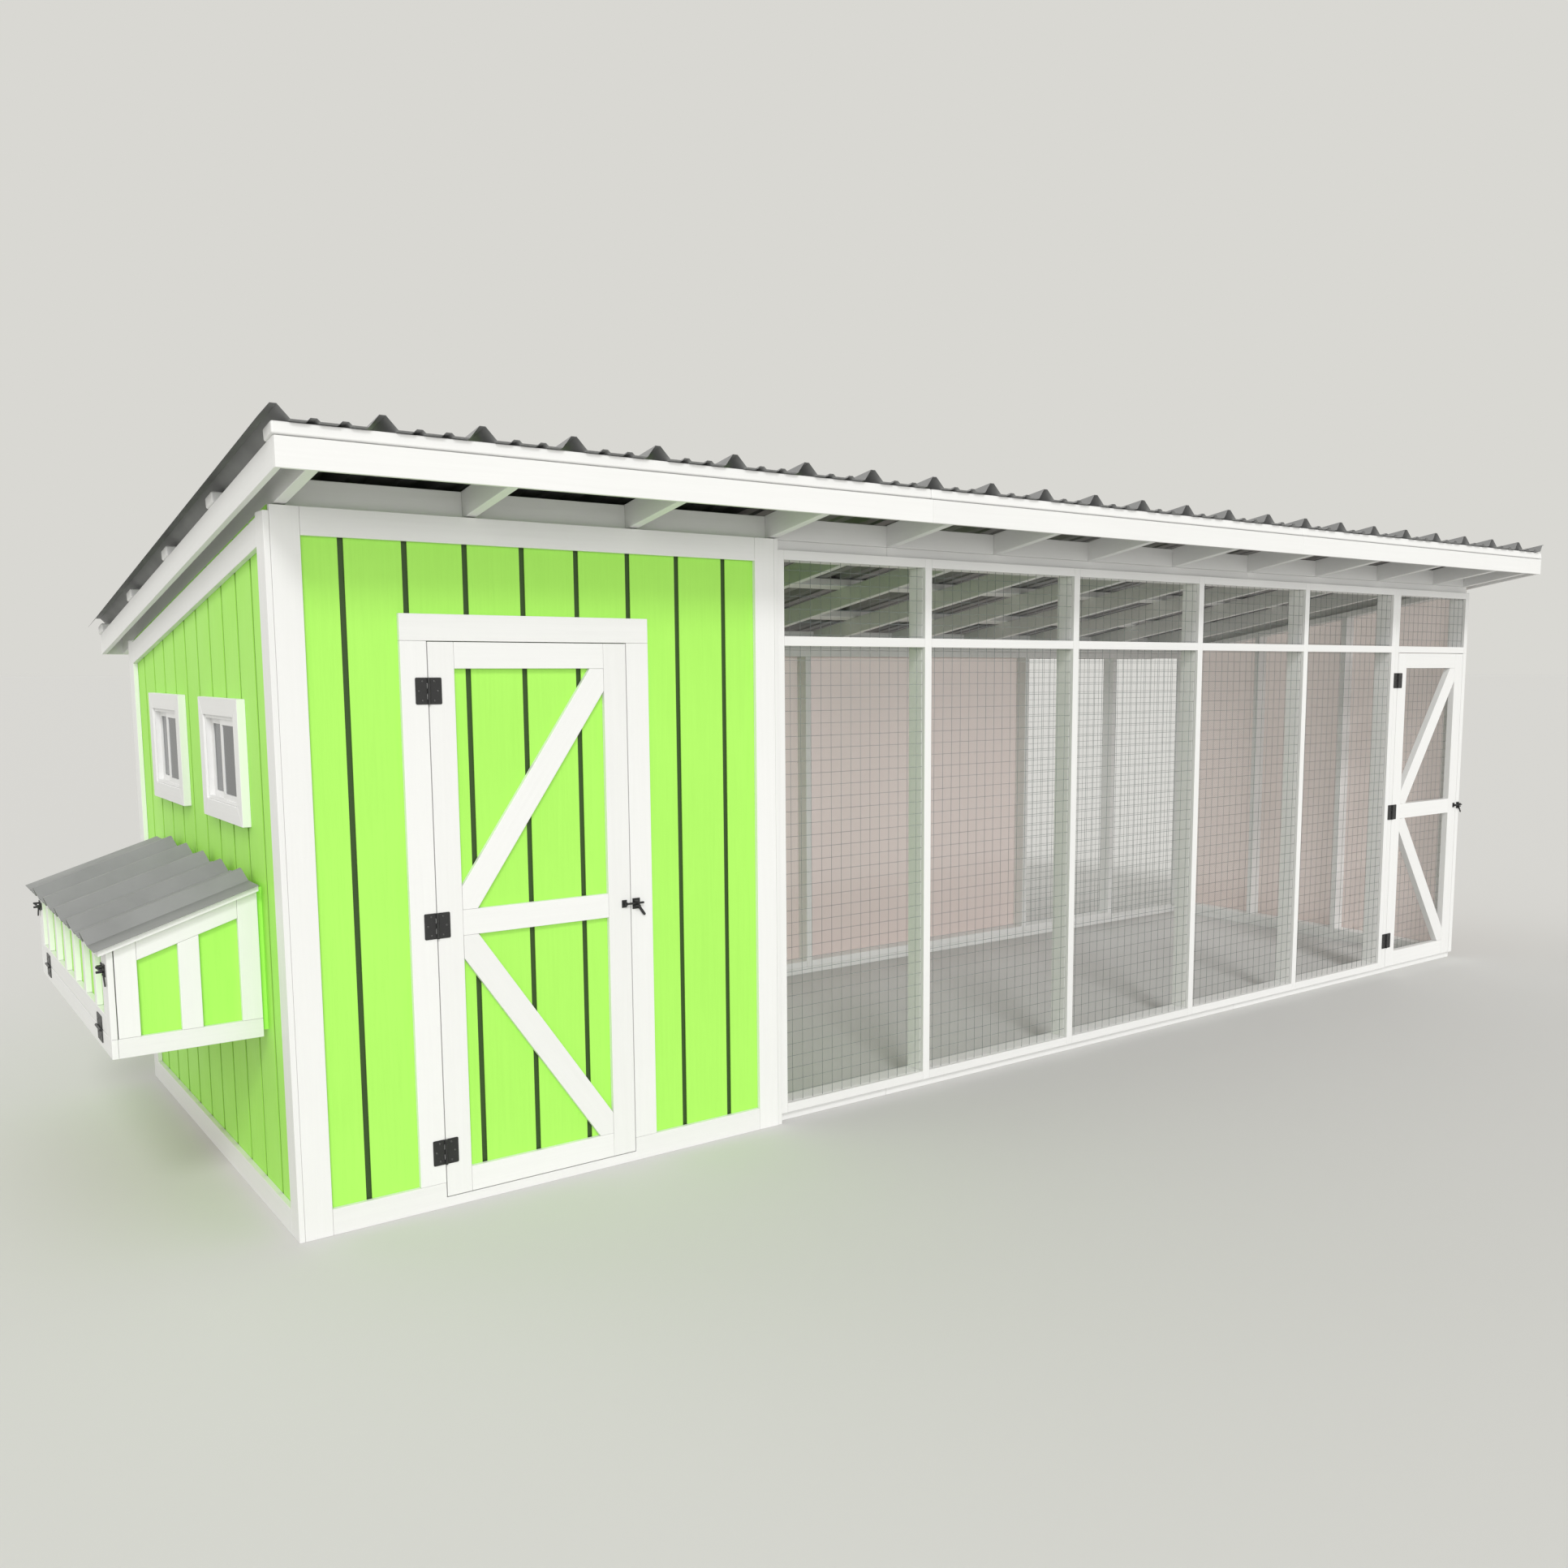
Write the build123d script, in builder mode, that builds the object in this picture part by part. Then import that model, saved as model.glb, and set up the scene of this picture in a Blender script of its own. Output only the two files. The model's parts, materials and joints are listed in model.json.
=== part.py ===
# Walk-in chicken coop with an attached covered run and an outside nest box.
# Frame: origin on the ground at the middle of the overall footprint, +X along the building from
# the nest box to the far end of the run, +Y from the front wall to the back wall, +Z up.

import os
from math import atan, ceil, cos, degrees, pi, sin

from build123d import *

inch = 25.4

# Stock sizes
stud_thick = 1.5 * inch
stud_wide = 3.5 * inch
board_thick = 0.75 * inch
board_wide = 3.5 * inch
siding_thick = 0.625 * inch
batten_wide = 1.5 * inch
wire_thick = 2.0
sheet_thick = 1.0
hairline = 0.5              # open joint between neighbouring boards of one node

# Building
coop_width = 74.75 * inch
building_depth = 91.25 * inch
eave_height = 93.25 * inch  # rafter underside above the front trim face
roof_pitch = 2 / 12
stock_length = 96 * inch

# Roof
eave_overhang = 13.5 * inch
left_overhang = 2.0 * inch
right_overhang = 5.0 * inch  # least, as the roof ends on a whole sheet
rafter_spacing = 24 * inch
purlin_count = 5
purlin_proud = 0.25 * inch
sheet_proud = 0.75 * inch
sheet_lift = 0.3
rib_pitch = 12 * inch
rib_base = 3.4 * inch
rib_top = 0.75 * inch
rib_height = 1.6 * inch
minor_rib_base = 1.4 * inch
minor_rib_top = 0.7 * inch
minor_rib_height = 0.35 * inch
minor_rib_places = (4.25 * inch, 7.75 * inch)
ribs_per_sheet = 3

# Siding
groove_pitch = 8 * inch
groove_wide = 0.75 * inch
groove_deep = 0.25 * inch
front_groove_start = 1.2 * inch
side_groove_start = 2.0 * inch
siding_ground_gap = 0.5 * inch
frieze_drop = 1.0 * inch    # side frieze top below the rafter underside

# Coop door
door_width = 28.75 * inch
door_left_offset = 19.5 * inch
door_bottom = 1.5 * inch
door_top = 76.75 * inch
door_gap = 3.0
door_stop = 0.5 * inch

# Run
first_bay = 30.25 * inch
bay_pitch = 36 * inch
open_bays = 4
head_rail_bottom = 76.75 * inch
run_door_gap = 3.0
screen_bays = 3             # back bays, after the first one, that carry the fine screen

# Windows
window_length = 17.25 * inch
window_height = 12.0 * inch
window_casing_wide = 2.5 * inch
window_bottom = 54.75 * inch
window_offsets = (18.7 * inch, 54.4 * inch)
window_casing_thick = 1.1 * inch
window_frame_wide = 0.4 * inch
window_frame_proud = 0.8 * inch
window_frame_deep = 2.5 * inch
sash_wide = 0.8 * inch
sash_thick = 0.5 * inch
sash_setback = 0.15 * inch
pane_thick = 4.0
sash_play = 2.0

# Nest box
nest_front_offset = 12.3 * inch
nest_length = 62.5 * inch
nest_reach = 17.9 * inch
nest_bottom = 24.6 * inch
nest_pitch = 4 / 12
nest_top_at_wall = 45.1 * inch
nest_trim_wide = 2.5 * inch
nest_door_rail = 2.5 * inch
nest_door_headroom = 0.5 * inch
nest_divider_drop = 3 * inch
nest_panel_thick = 0.5 * inch
nest_floor_thick = 0.75 * inch
nest_compartments = 4
nest_batten_count = 6
nest_batten_first = 9.5 * inch
nest_batten_pitch = 8.6 * inch
nest_lid_proud = 2.0 * inch
nest_lid_frame_thick = 0.75 * inch
nest_rib_pitch = 11.0 * inch
nest_hinge_inset = 8.0 * inch
nest_latch_drop = 2.0 * inch

# Interior
pop_hole_width = 12 * inch
pop_hole_height = 15 * inch
pop_hole_bottom = 6 * inch
pop_hole_offset = 40 * inch
pop_door_thick = 12.0
pop_door_margin = 1.0 * inch
pop_door_play = 2.0
pop_door_travel = 14 * inch
pop_guide_wide = 1.5 * inch
roost_height = 49 * inch
roost_offsets = (62 * inch, 78 * inch)
roost_round = 6.0

# Hinges and latches
hinge_height = 3.5 * inch
hinge_leaf = 1.75 * inch
hinge_plate = 2.5
barrel_radius = 5.0
barrel_clear = 0.3
pin_radius = 2.5
pin_clear = 0.06
knuckle_gap = 0.5
knuckle_count = 5
hinge_screw_radius = 3.2
screw_clear = 0.1
hinge_screws = ((-5.0, -0.36), (7.0, 0.0), (-5.0, 0.36))    # shift from the leaf's middle, height
hinge_inset = 6.4 * inch
latch_bar_radius = 4.0
latch_bar_stand = 14.0      # bar axis above the board face
latch_bar_reach = 36.0
latch_plate = (30.0, 34.0, 3.0)
latch_cheek = 6.0
latch_cheek_tall = 24.0
latch_bar_clear = 1.0
lever_length = 38.0
lever_thick = 4.0
lever_radius = 7.0
lever_pin_radius = 3.0
lever_angle = 55

# Derived places
cladding = board_thick + siding_thick
roof_angle = atan(roof_pitch)
nest_angle = atan(nest_pitch)
lid_reach = nest_reach + nest_lid_proud
lid_nose = (rib_height + sheet_lift + sheet_thick) * sin(nest_angle)
run_length = first_bay + open_bays * bay_pitch + stud_thick + 2 * run_door_gap + door_width + stud_thick
end_from_left = coop_width + run_length
rib_start = -left_overhang
sheet_count = ceil((left_overhang + end_from_left + right_overhang) / (ribs_per_sheet * rib_pitch))
roof_length = sheet_count * ribs_per_sheet * rib_pitch
sheet_right = rib_start + roof_length + rib_top / 2
overall_length = lid_reach + sheet_right
left_face = lid_reach - overall_length / 2
eave_reach = eave_overhang + board_thick + sheet_proud * cos(roof_angle)
front_reach = eave_reach - (stud_thick + sheet_lift) * sin(roof_angle)
back_reach = eave_reach + (stud_thick + sheet_lift + sheet_thick + rib_height) * sin(roof_angle)
front_face = front_reach - (building_depth + front_reach + back_reach) / 2
back_face = front_face + building_depth
coop_right = left_face + coop_width
frame_left = left_face + cladding
frame_front = front_face + cladding
frame_back = back_face - cladding
coop_frame_right = coop_right - cladding
run_right = left_face + end_from_left
inner_front = frame_front + stud_wide
inner_back = frame_back - stud_wide
roof_left = left_face - left_overhang
roof_right = roof_left + roof_length
eave_front = front_face - eave_overhang
eave_back = back_face + eave_overhang
rafter_rise = stud_wide / cos(roof_angle)
plate_rise = stud_thick / cos(roof_angle)
door_left = left_face + door_left_offset
door_right = door_left + door_width


def rafter_bottom(y):
    return eave_height - (y - front_face) * roof_pitch


def rafter_top(y):
    return rafter_bottom(y) + rafter_rise


front_plate_top = rafter_bottom(frame_front)
back_plate_top = rafter_bottom(inner_back)
mesh_face = frame_front - wire_thick
batten_face = mesh_face - board_thick
run_posts = [coop_right + first_bay + n * bay_pitch for n in range(open_bays)]
hinge_post = run_posts[-1] + bay_pitch - stud_thick
jamb_post = hinge_post + stud_thick
run_door_left = jamb_post + stud_thick + run_door_gap
run_door_right = run_door_left + door_width
latch_post = run_door_right + run_door_gap
run_door_bottom = stud_thick + run_door_gap
run_door_top = head_rail_bottom - run_door_gap


def block(x, y, z):
    """Board with square edges, given by its lowest and highest x, y and z."""
    with Locations(((x[0] + x[1]) / 2, (y[0] + y[1]) / 2, (z[0] + z[1]) / 2)):
        Box(x[1] - x[0], y[1] - y[0], z[1] - z[0])


def cut_block(x, y, z):
    """Rectangular cut, given by its lowest and highest x, y and z."""
    with Locations(((x[0] + x[1]) / 2, (y[0] + y[1]) / 2, (z[0] + z[1]) / 2)):
        Box(x[1] - x[0], y[1] - y[0], z[1] - z[0], mode=Mode.SUBTRACT)


def prism(plane, points, depth):
    """Straight solid whose section is the closed outline of points on the plane."""
    with BuildPart() as solid:
        with BuildSketch(plane):
            with BuildLine():
                Polyline(*points, close=True)
            make_face()
        extrude(amount=depth)
    return solid.part


def finish(part, name):
    """Name a finished sub-part and write its STEP file."""
    part.label = name
    export_step(part, f"parts/{name}.step")


def stock_runs(start, end):
    """Split a long run into stock lengths that meet with a hairline joint."""
    runs = []
    place = start
    while place < end - hairline:
        runs.append((place, min(place + stock_length, end) - hairline))
        place += stock_length
    return runs


def middle(a, b):
    return (a + b) / 2


os.makedirs("parts", exist_ok=True)

# Floor-level plates: long front and back runs, and the cross walls between them
with BuildPart() as sole_plates:
    for run in stock_runs(frame_left, run_right):
        block(run, (frame_front, inner_front), (0, stud_thick))
        block(run, (inner_back, frame_back), (0, stud_thick))
    for x in (frame_left, coop_frame_right - stud_wide, run_right - stud_wide - hairline):
        block((x, x + stud_wide), (inner_front + hairline, inner_back - hairline), (0, stud_thick))
finish(sole_plates.part, "sole_plates")

# Top plates: doubled on the front and back walls, single and sloped on the cross walls
cross_walls = (frame_left, coop_frame_right - stud_wide, run_right - stud_wide - hairline)
rake_start = inner_front + hairline
rake_end = inner_back - hairline
rake_outline = [
    (rake_start, rafter_bottom(rake_start)),
    (rake_end, rafter_bottom(rake_end)),
    (rake_end, rafter_bottom(rake_end) - plate_rise),
    (rake_start, rafter_bottom(rake_start) - plate_rise),
]
rake_plate = prism(Plane.YZ, rake_outline, stud_wide)
with BuildPart() as top_plates:
    for run in stock_runs(frame_left, run_right):
        block(run, (frame_front, inner_front), (front_plate_top - stud_thick, front_plate_top))
        block(run, (inner_back, frame_back), (back_plate_top - stud_thick, back_plate_top))
        lower_front = front_plate_top - stud_thick - hairline
        block(run, (frame_front, inner_front), (lower_front - stud_thick, lower_front))
        lower_back = back_plate_top - stud_thick - hairline
        block(run, (inner_back, frame_back), (lower_back - stud_thick, lower_back))
    with Locations(*[(x, 0, 0) for x in cross_walls]):
        add(rake_plate)
finish(top_plates.part, "top_plates")

front_stud_top = lower_front - stud_thick
back_stud_top = lower_back - stud_thick


def cross_stud(x, y, bottom, top=None):
    """Upright in a cross wall, cut to the slope of the rake plate unless a top is given."""
    far = y + stud_thick
    near_top = rafter_bottom(y) - plate_rise if top is None else top
    far_top = rafter_bottom(far) - plate_rise if top is None else top
    outline = [(y, bottom), (far, bottom), (far, far_top), (y, near_top)]
    return prism(Plane.YZ.offset(x), outline, stud_wide)


# Left wall openings
window_fronts = [front_face + offset for offset in window_offsets]
window_top = window_bottom + window_height
nest_front = front_face + nest_front_offset
nest_back = nest_front + nest_length
nest_inside_front = nest_front + board_thick + nest_panel_thick
nest_inside_back = nest_back - board_thick - nest_panel_thick
nest_top = nest_top_at_wall - nest_lid_frame_thick
nest_opening_bottom = nest_bottom + board_thick + nest_floor_thick
nest_opening_top = nest_top - cladding * nest_pitch - 1.0 * inch
nest_header_top = nest_opening_top + stud_wide
pop_front = front_face + pop_hole_offset
pop_back = pop_front + pop_hole_width
pop_top = pop_hole_bottom + pop_hole_height
divider_inside = coop_frame_right - stud_wide

left_studs = [
    cross_stud(frame_left, inner_front + hairline, stud_thick),
    cross_stud(frame_left, nest_inside_front - stud_thick, stud_thick),
    cross_stud(frame_left, nest_inside_back, stud_thick),
    cross_stud(frame_left, inner_back - stud_thick - hairline, stud_thick),
]
for start in window_fronts:
    for y in (start - stud_thick, start + window_length):
        left_studs.append(cross_stud(frame_left, y, nest_header_top + hairline))
divider_studs = [
    cross_stud(divider_inside, y, stud_thick)
    for y in (
        inner_front + hairline,
        pop_front - stud_thick - pop_door_margin,
        pop_back + pop_door_margin,
        inner_back - stud_thick - hairline,
    )
]

# Coop wall studs
king_left = door_left + door_stop - 2 * stud_thick - hairline
trimmer_left = door_left + door_stop - stud_thick
trimmer_right = door_right - door_stop
king_right = trimmer_right + stud_thick + hairline
header_bottom = door_top - door_stop
with BuildPart() as coop_studs:
    corner_stud = coop_frame_right - stud_thick
    for x in (frame_left, king_left, king_right, corner_stud):
        block((x, x + stud_thick), (frame_front, inner_front), (stud_thick, front_stud_top))
    for x in (trimmer_left, trimmer_right):
        block((x, x + stud_thick), (frame_front, inner_front), (stud_thick, header_bottom))
    cripple = middle(door_left, door_right) - stud_thick / 2
    cripple_bottom = header_bottom + stud_wide + hairline
    block((cripple, cripple + stud_thick), (frame_front, inner_front), (cripple_bottom, front_stud_top))
    back_middle = middle(frame_left, corner_stud)
    for x in (frame_left, back_middle, corner_stud):
        block((x, x + stud_thick), (inner_back, frame_back), (stud_thick, back_stud_top))
    for stud in left_studs + divider_studs:
        add(stud)
finish(coop_studs.part, "coop_studs")

# Headers and sills over and under the openings
with BuildPart() as headers_and_sills:
    header_right = trimmer_right + stud_thick
    block((trimmer_left, header_right), (frame_front, inner_front), (header_bottom, header_bottom + stud_wide))
    header_span = (nest_inside_front + hairline, nest_inside_back - hairline)
    wall_x = (frame_left, frame_left + stud_wide)
    block(wall_x, header_span, (nest_opening_top, nest_header_top))
    sill_top = nest_opening_bottom - nest_floor_thick
    block(wall_x, header_span, (sill_top - stud_thick, sill_top))
    for start in window_fronts:
        span = (start + hairline, start + window_length - hairline)
        block(wall_x, span, (window_bottom - stud_thick, window_bottom))
        block(wall_x, span, (window_top, window_top + stud_thick))
    stud_x = (divider_inside, coop_frame_right)
    pop_span = (pop_front - pop_door_margin + hairline, pop_back + pop_door_margin - hairline)
    block(stud_x, pop_span, (pop_top, pop_top + stud_thick))
    block(stud_x, pop_span, (pop_hole_bottom - stud_thick, pop_hole_bottom))
finish(headers_and_sills.part, "headers_and_sills")

# Run posts
end_bay = (inner_back - inner_front) / 3
end_wall_x = run_right - stud_wide - hairline
end_studs = []
for n in (1, 2):
    end_studs.append(cross_stud(end_wall_x, inner_front + n * end_bay, stud_thick))
with BuildPart() as run_posts_part:
    for x in [coop_right] + run_posts + [hinge_post, jamb_post + hairline, latch_post]:
        wide = stud_thick - hairline if x in (jamb_post + hairline, latch_post) else stud_thick
        block((x, x + wide), (frame_front, inner_front), (stud_thick, front_stud_top))
    for x in [coop_right] + run_posts + [hinge_post, latch_post]:
        wide = stud_thick - hairline
        block((x, x + wide), (inner_back, frame_back), (stud_thick, back_stud_top))
    for stud in end_studs:
        add(stud)
finish(run_posts_part.part, "run_posts")

# Run rails: kick rails on the sole plate and head rails level with the door top
bay_edges = [coop_right] + run_posts + [hinge_post]
with BuildPart() as run_rails:
    for left, right in zip(bay_edges, bay_edges[1:]):
        span = (left + stud_thick + hairline, right - hairline)
        block(span, (frame_front, inner_front), (stud_thick, 2 * stud_thick))
        block(span, (frame_front, inner_front), (head_rail_bottom, head_rail_bottom + stud_thick))
        block(span, (inner_back, frame_back), (stud_thick, 2 * stud_thick))
    over_door = (jamb_post + stud_thick + hairline, latch_post - hairline)
    block(over_door, (frame_front, inner_front), (head_rail_bottom, head_rail_bottom + stud_thick))
    for n in range(3):
        near = inner_front + n * end_bay + (stud_thick if n else 0) + hairline
        far = inner_front + (n + 1) * end_bay - hairline
        block((end_wall_x, end_wall_x + stud_wide), (near, far), (stud_thick, 2 * stud_thick))
finish(run_rails.part, "run_rails")

# Welded wire on the front and back of the run
mesh_top = front_stud_top + stud_thick
back_mesh_top = back_stud_top + stud_thick
screen_right = run_posts[screen_bays] + stud_thick
with BuildPart() as wire_mesh:
    block((coop_right + hairline, jamb_post + stud_thick), (mesh_face, frame_front), (stud_thick, mesh_top))
    over_x = (jamb_post + stud_thick + hairline, run_right - hairline)
    block(over_x, (mesh_face, frame_front), (head_rail_bottom, mesh_top))
    open_x = (screen_right + hairline, run_right - hairline)
    block(open_x, (frame_back, frame_back + wire_thick), (stud_thick, back_mesh_top))
finish(wire_mesh.part, "wire_mesh")

# Fine screen on the back bays nearest the coop and over the whole end wall
end_outline = [
    (frame_front, stud_thick),
    (frame_back, stud_thick),
    (frame_back, rafter_bottom(frame_back)),
    (frame_front, rafter_bottom(frame_front)),
]
end_sheet = prism(Plane.YZ.offset(run_right - hairline), end_outline, wire_thick)
with BuildPart() as fine_screens:
    screened_x = (coop_right + hairline, screen_right)
    block(screened_x, (frame_back, frame_back + wire_thick), (stud_thick, back_mesh_top))
    add(end_sheet)
finish(fine_screens.part, "fine_screens")

# Battens that clamp the wire to the front posts and rails
batten_y = (batten_face, mesh_face)
upright_lefts = [coop_right + hairline] + run_posts + [hinge_post, jamb_post + hairline]
with BuildPart() as mesh_battens:
    for x in upright_lefts:
        block((x, x + batten_wide - hairline), batten_y, (stud_thick, mesh_top))
    for left, right in zip(upright_lefts, upright_lefts[1:-1]):
        span = (left + batten_wide, right - hairline)
        block(span, batten_y, (stud_thick, stud_thick + batten_wide))
        block(span, batten_y, (head_rail_bottom, head_rail_bottom + batten_wide))
        block(span, batten_y, (mesh_top - batten_wide, mesh_top))
    door_span = (jamb_post + batten_wide + hairline, latch_post - hairline)
    block(door_span, batten_y, (head_rail_bottom, head_rail_bottom + batten_wide))
    block(door_span, batten_y, (mesh_top - batten_wide, mesh_top))
    latch_x = (latch_post, latch_post + batten_wide - hairline)
    block(latch_x, batten_y, (head_rail_bottom, mesh_top))
    block(latch_x, (batten_face, frame_front), (stud_thick, head_rail_bottom - hairline))
finish(mesh_battens.part, "mesh_battens")

# Rafters, notched over the front and back plates
rafter_outline = [
    (eave_front, rafter_bottom(eave_front)),
    (frame_front, front_plate_top),
    (inner_front, front_plate_top),
    (inner_front, rafter_bottom(inner_front)),
    (inner_back, back_plate_top),
    (frame_back, back_plate_top),
    (frame_back, rafter_bottom(frame_back)),
    (eave_back, rafter_bottom(eave_back)),
    (eave_back, rafter_top(eave_back)),
    (eave_front, rafter_top(eave_front)),
]
rafter = prism(Plane.YZ, rafter_outline, stud_thick)
rafter_places = []
place = frame_left
while place < run_right - 2 * stud_thick:
    rafter_places.append(place)
    place += rafter_spacing
rafter_places.append(run_right - stud_thick)
with BuildPart() as rafters:
    with Locations(*[(x, 0, 0) for x in rafter_places]):
        add(rafter)
finish(rafters.part, "rafters")

# Blocking between the rafters over the front and back plates
blocking_thick = board_thick
front_blocking = (front_plate_top, rafter_top(frame_front + blocking_thick))
back_blocking = (back_plate_top, rafter_top(frame_back))
with BuildPart() as rafter_blocking:
    for left, right in zip(rafter_places, rafter_places[1:]):
        span = (left + stud_thick, right)
        block(span, (frame_front, frame_front + blocking_thick), front_blocking)
        block(span, (frame_back - blocking_thick, frame_back), back_blocking)
finish(rafter_blocking.part, "rafter_blocking")

# Fascia across both eaves, and barge boards down both rakes
fascia_front = (eave_front - board_thick, eave_front)
fascia_back = (eave_back, eave_back + board_thick)
barge_outline = [
    (eave_front, rafter_bottom(eave_front)),
    (eave_back, rafter_bottom(eave_back)),
    (eave_back, rafter_top(eave_back)),
    (eave_front, rafter_top(eave_front)),
]
barge = prism(Plane.YZ, barge_outline, board_thick)
with BuildPart() as fascia_boards:
    for run in stock_runs(roof_left, roof_right):
        front_bottom = rafter_bottom(eave_front)
        block(run, fascia_front, (front_bottom, front_bottom + board_wide))
        back_top = rafter_top(eave_back + board_thick)
        block(run, fascia_back, (back_top - board_wide, back_top))
finish(fascia_boards.part, "fascia_boards")

with BuildPart() as barge_boards:
    with Locations((roof_left, 0, 0), (roof_right - board_thick, 0, 0)):
        add(barge)
finish(barge_boards.part, "barge_boards")

# Purlins and sheets lie in the plane of the rafter tops
slope_length = (fascia_back[1] - fascia_front[0]) / cos(roof_angle)
roof_plane = Plane(
    origin=(0, fascia_front[0], rafter_top(fascia_front[0])),
    x_dir=(1, 0, 0),
    z_dir=(0, sin(roof_angle), cos(roof_angle)),
)
purlin_step = (slope_length - stud_wide) / (purlin_count - 1)
purlin_places = [stud_wide / 2 + n * purlin_step for n in range(purlin_count)]
with BuildPart() as purlins:
    for run in stock_runs(roof_left - purlin_proud, roof_right + purlin_proud):
        with BuildSketch(roof_plane):
            with Locations(*[(middle(*run), s) for s in purlin_places]):
                Rectangle(run[1] - run[0], stud_wide)
        extrude(amount=stud_thick)
finish(purlins.part, "purlins")


def rib(x, base, top, height):
    """Four corners of one raised rib, left foot first."""
    return [(x - base / 2, 0), (x - top / 2, height), (x + top / 2, height), (x + base / 2, 0)]


def sheet_profile(start, ribs, pitch, last):
    """Top line of a ribbed sheet from the foot of one main rib to the foot of a later one."""
    points = []
    for n in range(ribs):
        x = start + n * pitch
        points += rib(x, rib_base, rib_top, rib_height)
        for place in minor_rib_places:
            points += rib(x + place * pitch / rib_pitch, minor_rib_base, minor_rib_top, minor_rib_height)
    end = start + ribs * pitch
    if last:
        points += rib(end, rib_base, rib_top, rib_height)[:3]
    else:
        points.append((end - rib_base / 2 - hairline, 0))
    return points


def sheet_outline(points, lift):
    """Closed outline of a bent sheet, with heights measured downwards."""
    upper = [(x, -(h + lift + sheet_thick)) for x, h in points]
    lower = [(x, -(h + lift)) for x, h in reversed(points)]
    return upper + lower


sheet_plane = Plane(
    origin=(
        0,
        fascia_front[0] - sheet_proud * cos(roof_angle) + stud_thick * sin(roof_angle),
        rafter_top(fascia_front[0]) + sheet_proud * sin(roof_angle) + stud_thick * cos(roof_angle),
    ),
    x_dir=(1, 0, 0),
    z_dir=(0, cos(roof_angle), -sin(roof_angle)),
)
with BuildPart() as roof_sheets:
    for n in range(sheet_count):
        start = roof_left + n * ribs_per_sheet * rib_pitch
        profile = sheet_profile(start, ribs_per_sheet, rib_pitch, n == sheet_count - 1)
        with BuildSketch(sheet_plane):
            with BuildLine():
                Polyline(*sheet_outline(profile, sheet_lift), close=True)
            make_face()
        extrude(amount=slope_length + 2 * sheet_proud)
finish(roof_sheets.part, "roof_sheets")


def groove_places(start, low, high):
    """Centres of the siding grooves between two edges."""
    places = []
    place = start
    while place < high - groove_wide:
        if place > low + groove_wide:
            places.append(place)
        place += groove_pitch
    return places


# Front siding with the doorway and the grooves
siding_front = (front_face + board_thick, frame_front)
siding_back = (frame_back, back_face - board_thick)
siding_x = (left_face + board_thick, coop_right - board_thick)
front_grooves = groove_places(left_face + front_groove_start, siding_x[0], siding_x[1])
doorway = (door_left - door_gap, door_right + door_gap)
with BuildPart() as front_siding:
    block(siding_x, siding_front, (siding_ground_gap, front_plate_top))
    cut_block(doorway, siding_front, (door_bottom - door_gap, door_top + door_gap))
    for x in front_grooves:
        groove = (x - groove_wide / 2, x + groove_wide / 2)
        cut_block(groove, (siding_front[0], siding_front[0] + groove_deep), (0, eave_height))
finish(front_siding.part, "front_siding")

with BuildPart() as back_siding:
    block(siding_x, siding_back, (siding_ground_gap, rafter_bottom(back_face)))
    for x in front_grooves:
        groove = (x - groove_wide / 2, x + groove_wide / 2)
        cut_block(groove, (siding_back[1] - groove_deep, siding_back[1]), (0, eave_height))
finish(back_siding.part, "back_siding")

# Side siding, sloped with the roof
side_y = (frame_front, frame_back)
side_outline = [
    (side_y[0], siding_ground_gap),
    (side_y[1], siding_ground_gap),
    (side_y[1], rafter_bottom(side_y[1])),
    (side_y[0], rafter_bottom(side_y[0])),
]
side_x = (left_face + board_thick, frame_left)
side_grooves = groove_places(front_face + side_groove_start, side_y[0], side_y[1])
left_sheet = prism(Plane.YZ.offset(side_x[0]), side_outline, siding_thick)
with BuildPart() as left_siding:
    add(left_sheet)
    for start in window_fronts:
        cut_block(side_x, (start, start + window_length), (window_bottom, window_top))
    cut_block(side_x, (nest_inside_front, nest_inside_back), (sill_top, nest_opening_top))
    for y in side_grooves:
        groove = (y - groove_wide / 2, y + groove_wide / 2)
        cut_block((side_x[0], side_x[0] + groove_deep), groove, (0, eave_height))
finish(left_siding.part, "left_siding")

divider_y = (inner_front + hairline, inner_back - hairline)
divider_outline = [
    (divider_y[0], siding_ground_gap),
    (divider_y[1], siding_ground_gap),
    (divider_y[1], rafter_bottom(divider_y[1]) - hairline),
    (divider_y[0], rafter_bottom(divider_y[0]) - hairline),
]
divider_x = (coop_frame_right, coop_right - board_thick)
divider_sheet = prism(Plane.YZ.offset(divider_x[0]), divider_outline, siding_thick)
with BuildPart() as divider_siding:
    add(divider_sheet)
    cut_block(divider_x, (pop_front, pop_back), (pop_hole_bottom, pop_top))
    for y in groove_places(front_face + side_groove_start, divider_y[0], divider_y[1]):
        groove = (y - groove_wide / 2, y + groove_wide / 2)
        cut_block((divider_x[1] - groove_deep, divider_x[1]), groove, (0, eave_height))
finish(divider_siding.part, "divider_siding")

# Corner boards: one on the front or back face and one round the corner
corner_x = ((left_face + board_thick, left_face + board_thick + board_wide),
            (coop_right - board_thick - board_wide, coop_right - board_thick))
side_corner_x = ((left_face, left_face + board_thick - hairline),
                 (coop_right - board_thick + hairline, coop_right))
back_trim_top = rafter_bottom(back_face)
with BuildPart() as corner_boards:
    for x in corner_x:
        block(x, (front_face, front_face + board_thick), (0, front_plate_top))
        block(x, (back_face - board_thick, back_face), (0, back_trim_top))
    block(side_corner_x[0], (front_face, front_face + board_wide), (0, front_plate_top - board_thick))
    block(side_corner_x[0], (back_face - board_wide, back_face), (0, back_trim_top))
    block(side_corner_x[1], (front_face, frame_front), (0, front_plate_top))
    block(side_corner_x[1], (frame_back, back_face), (0, back_trim_top))
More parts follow.
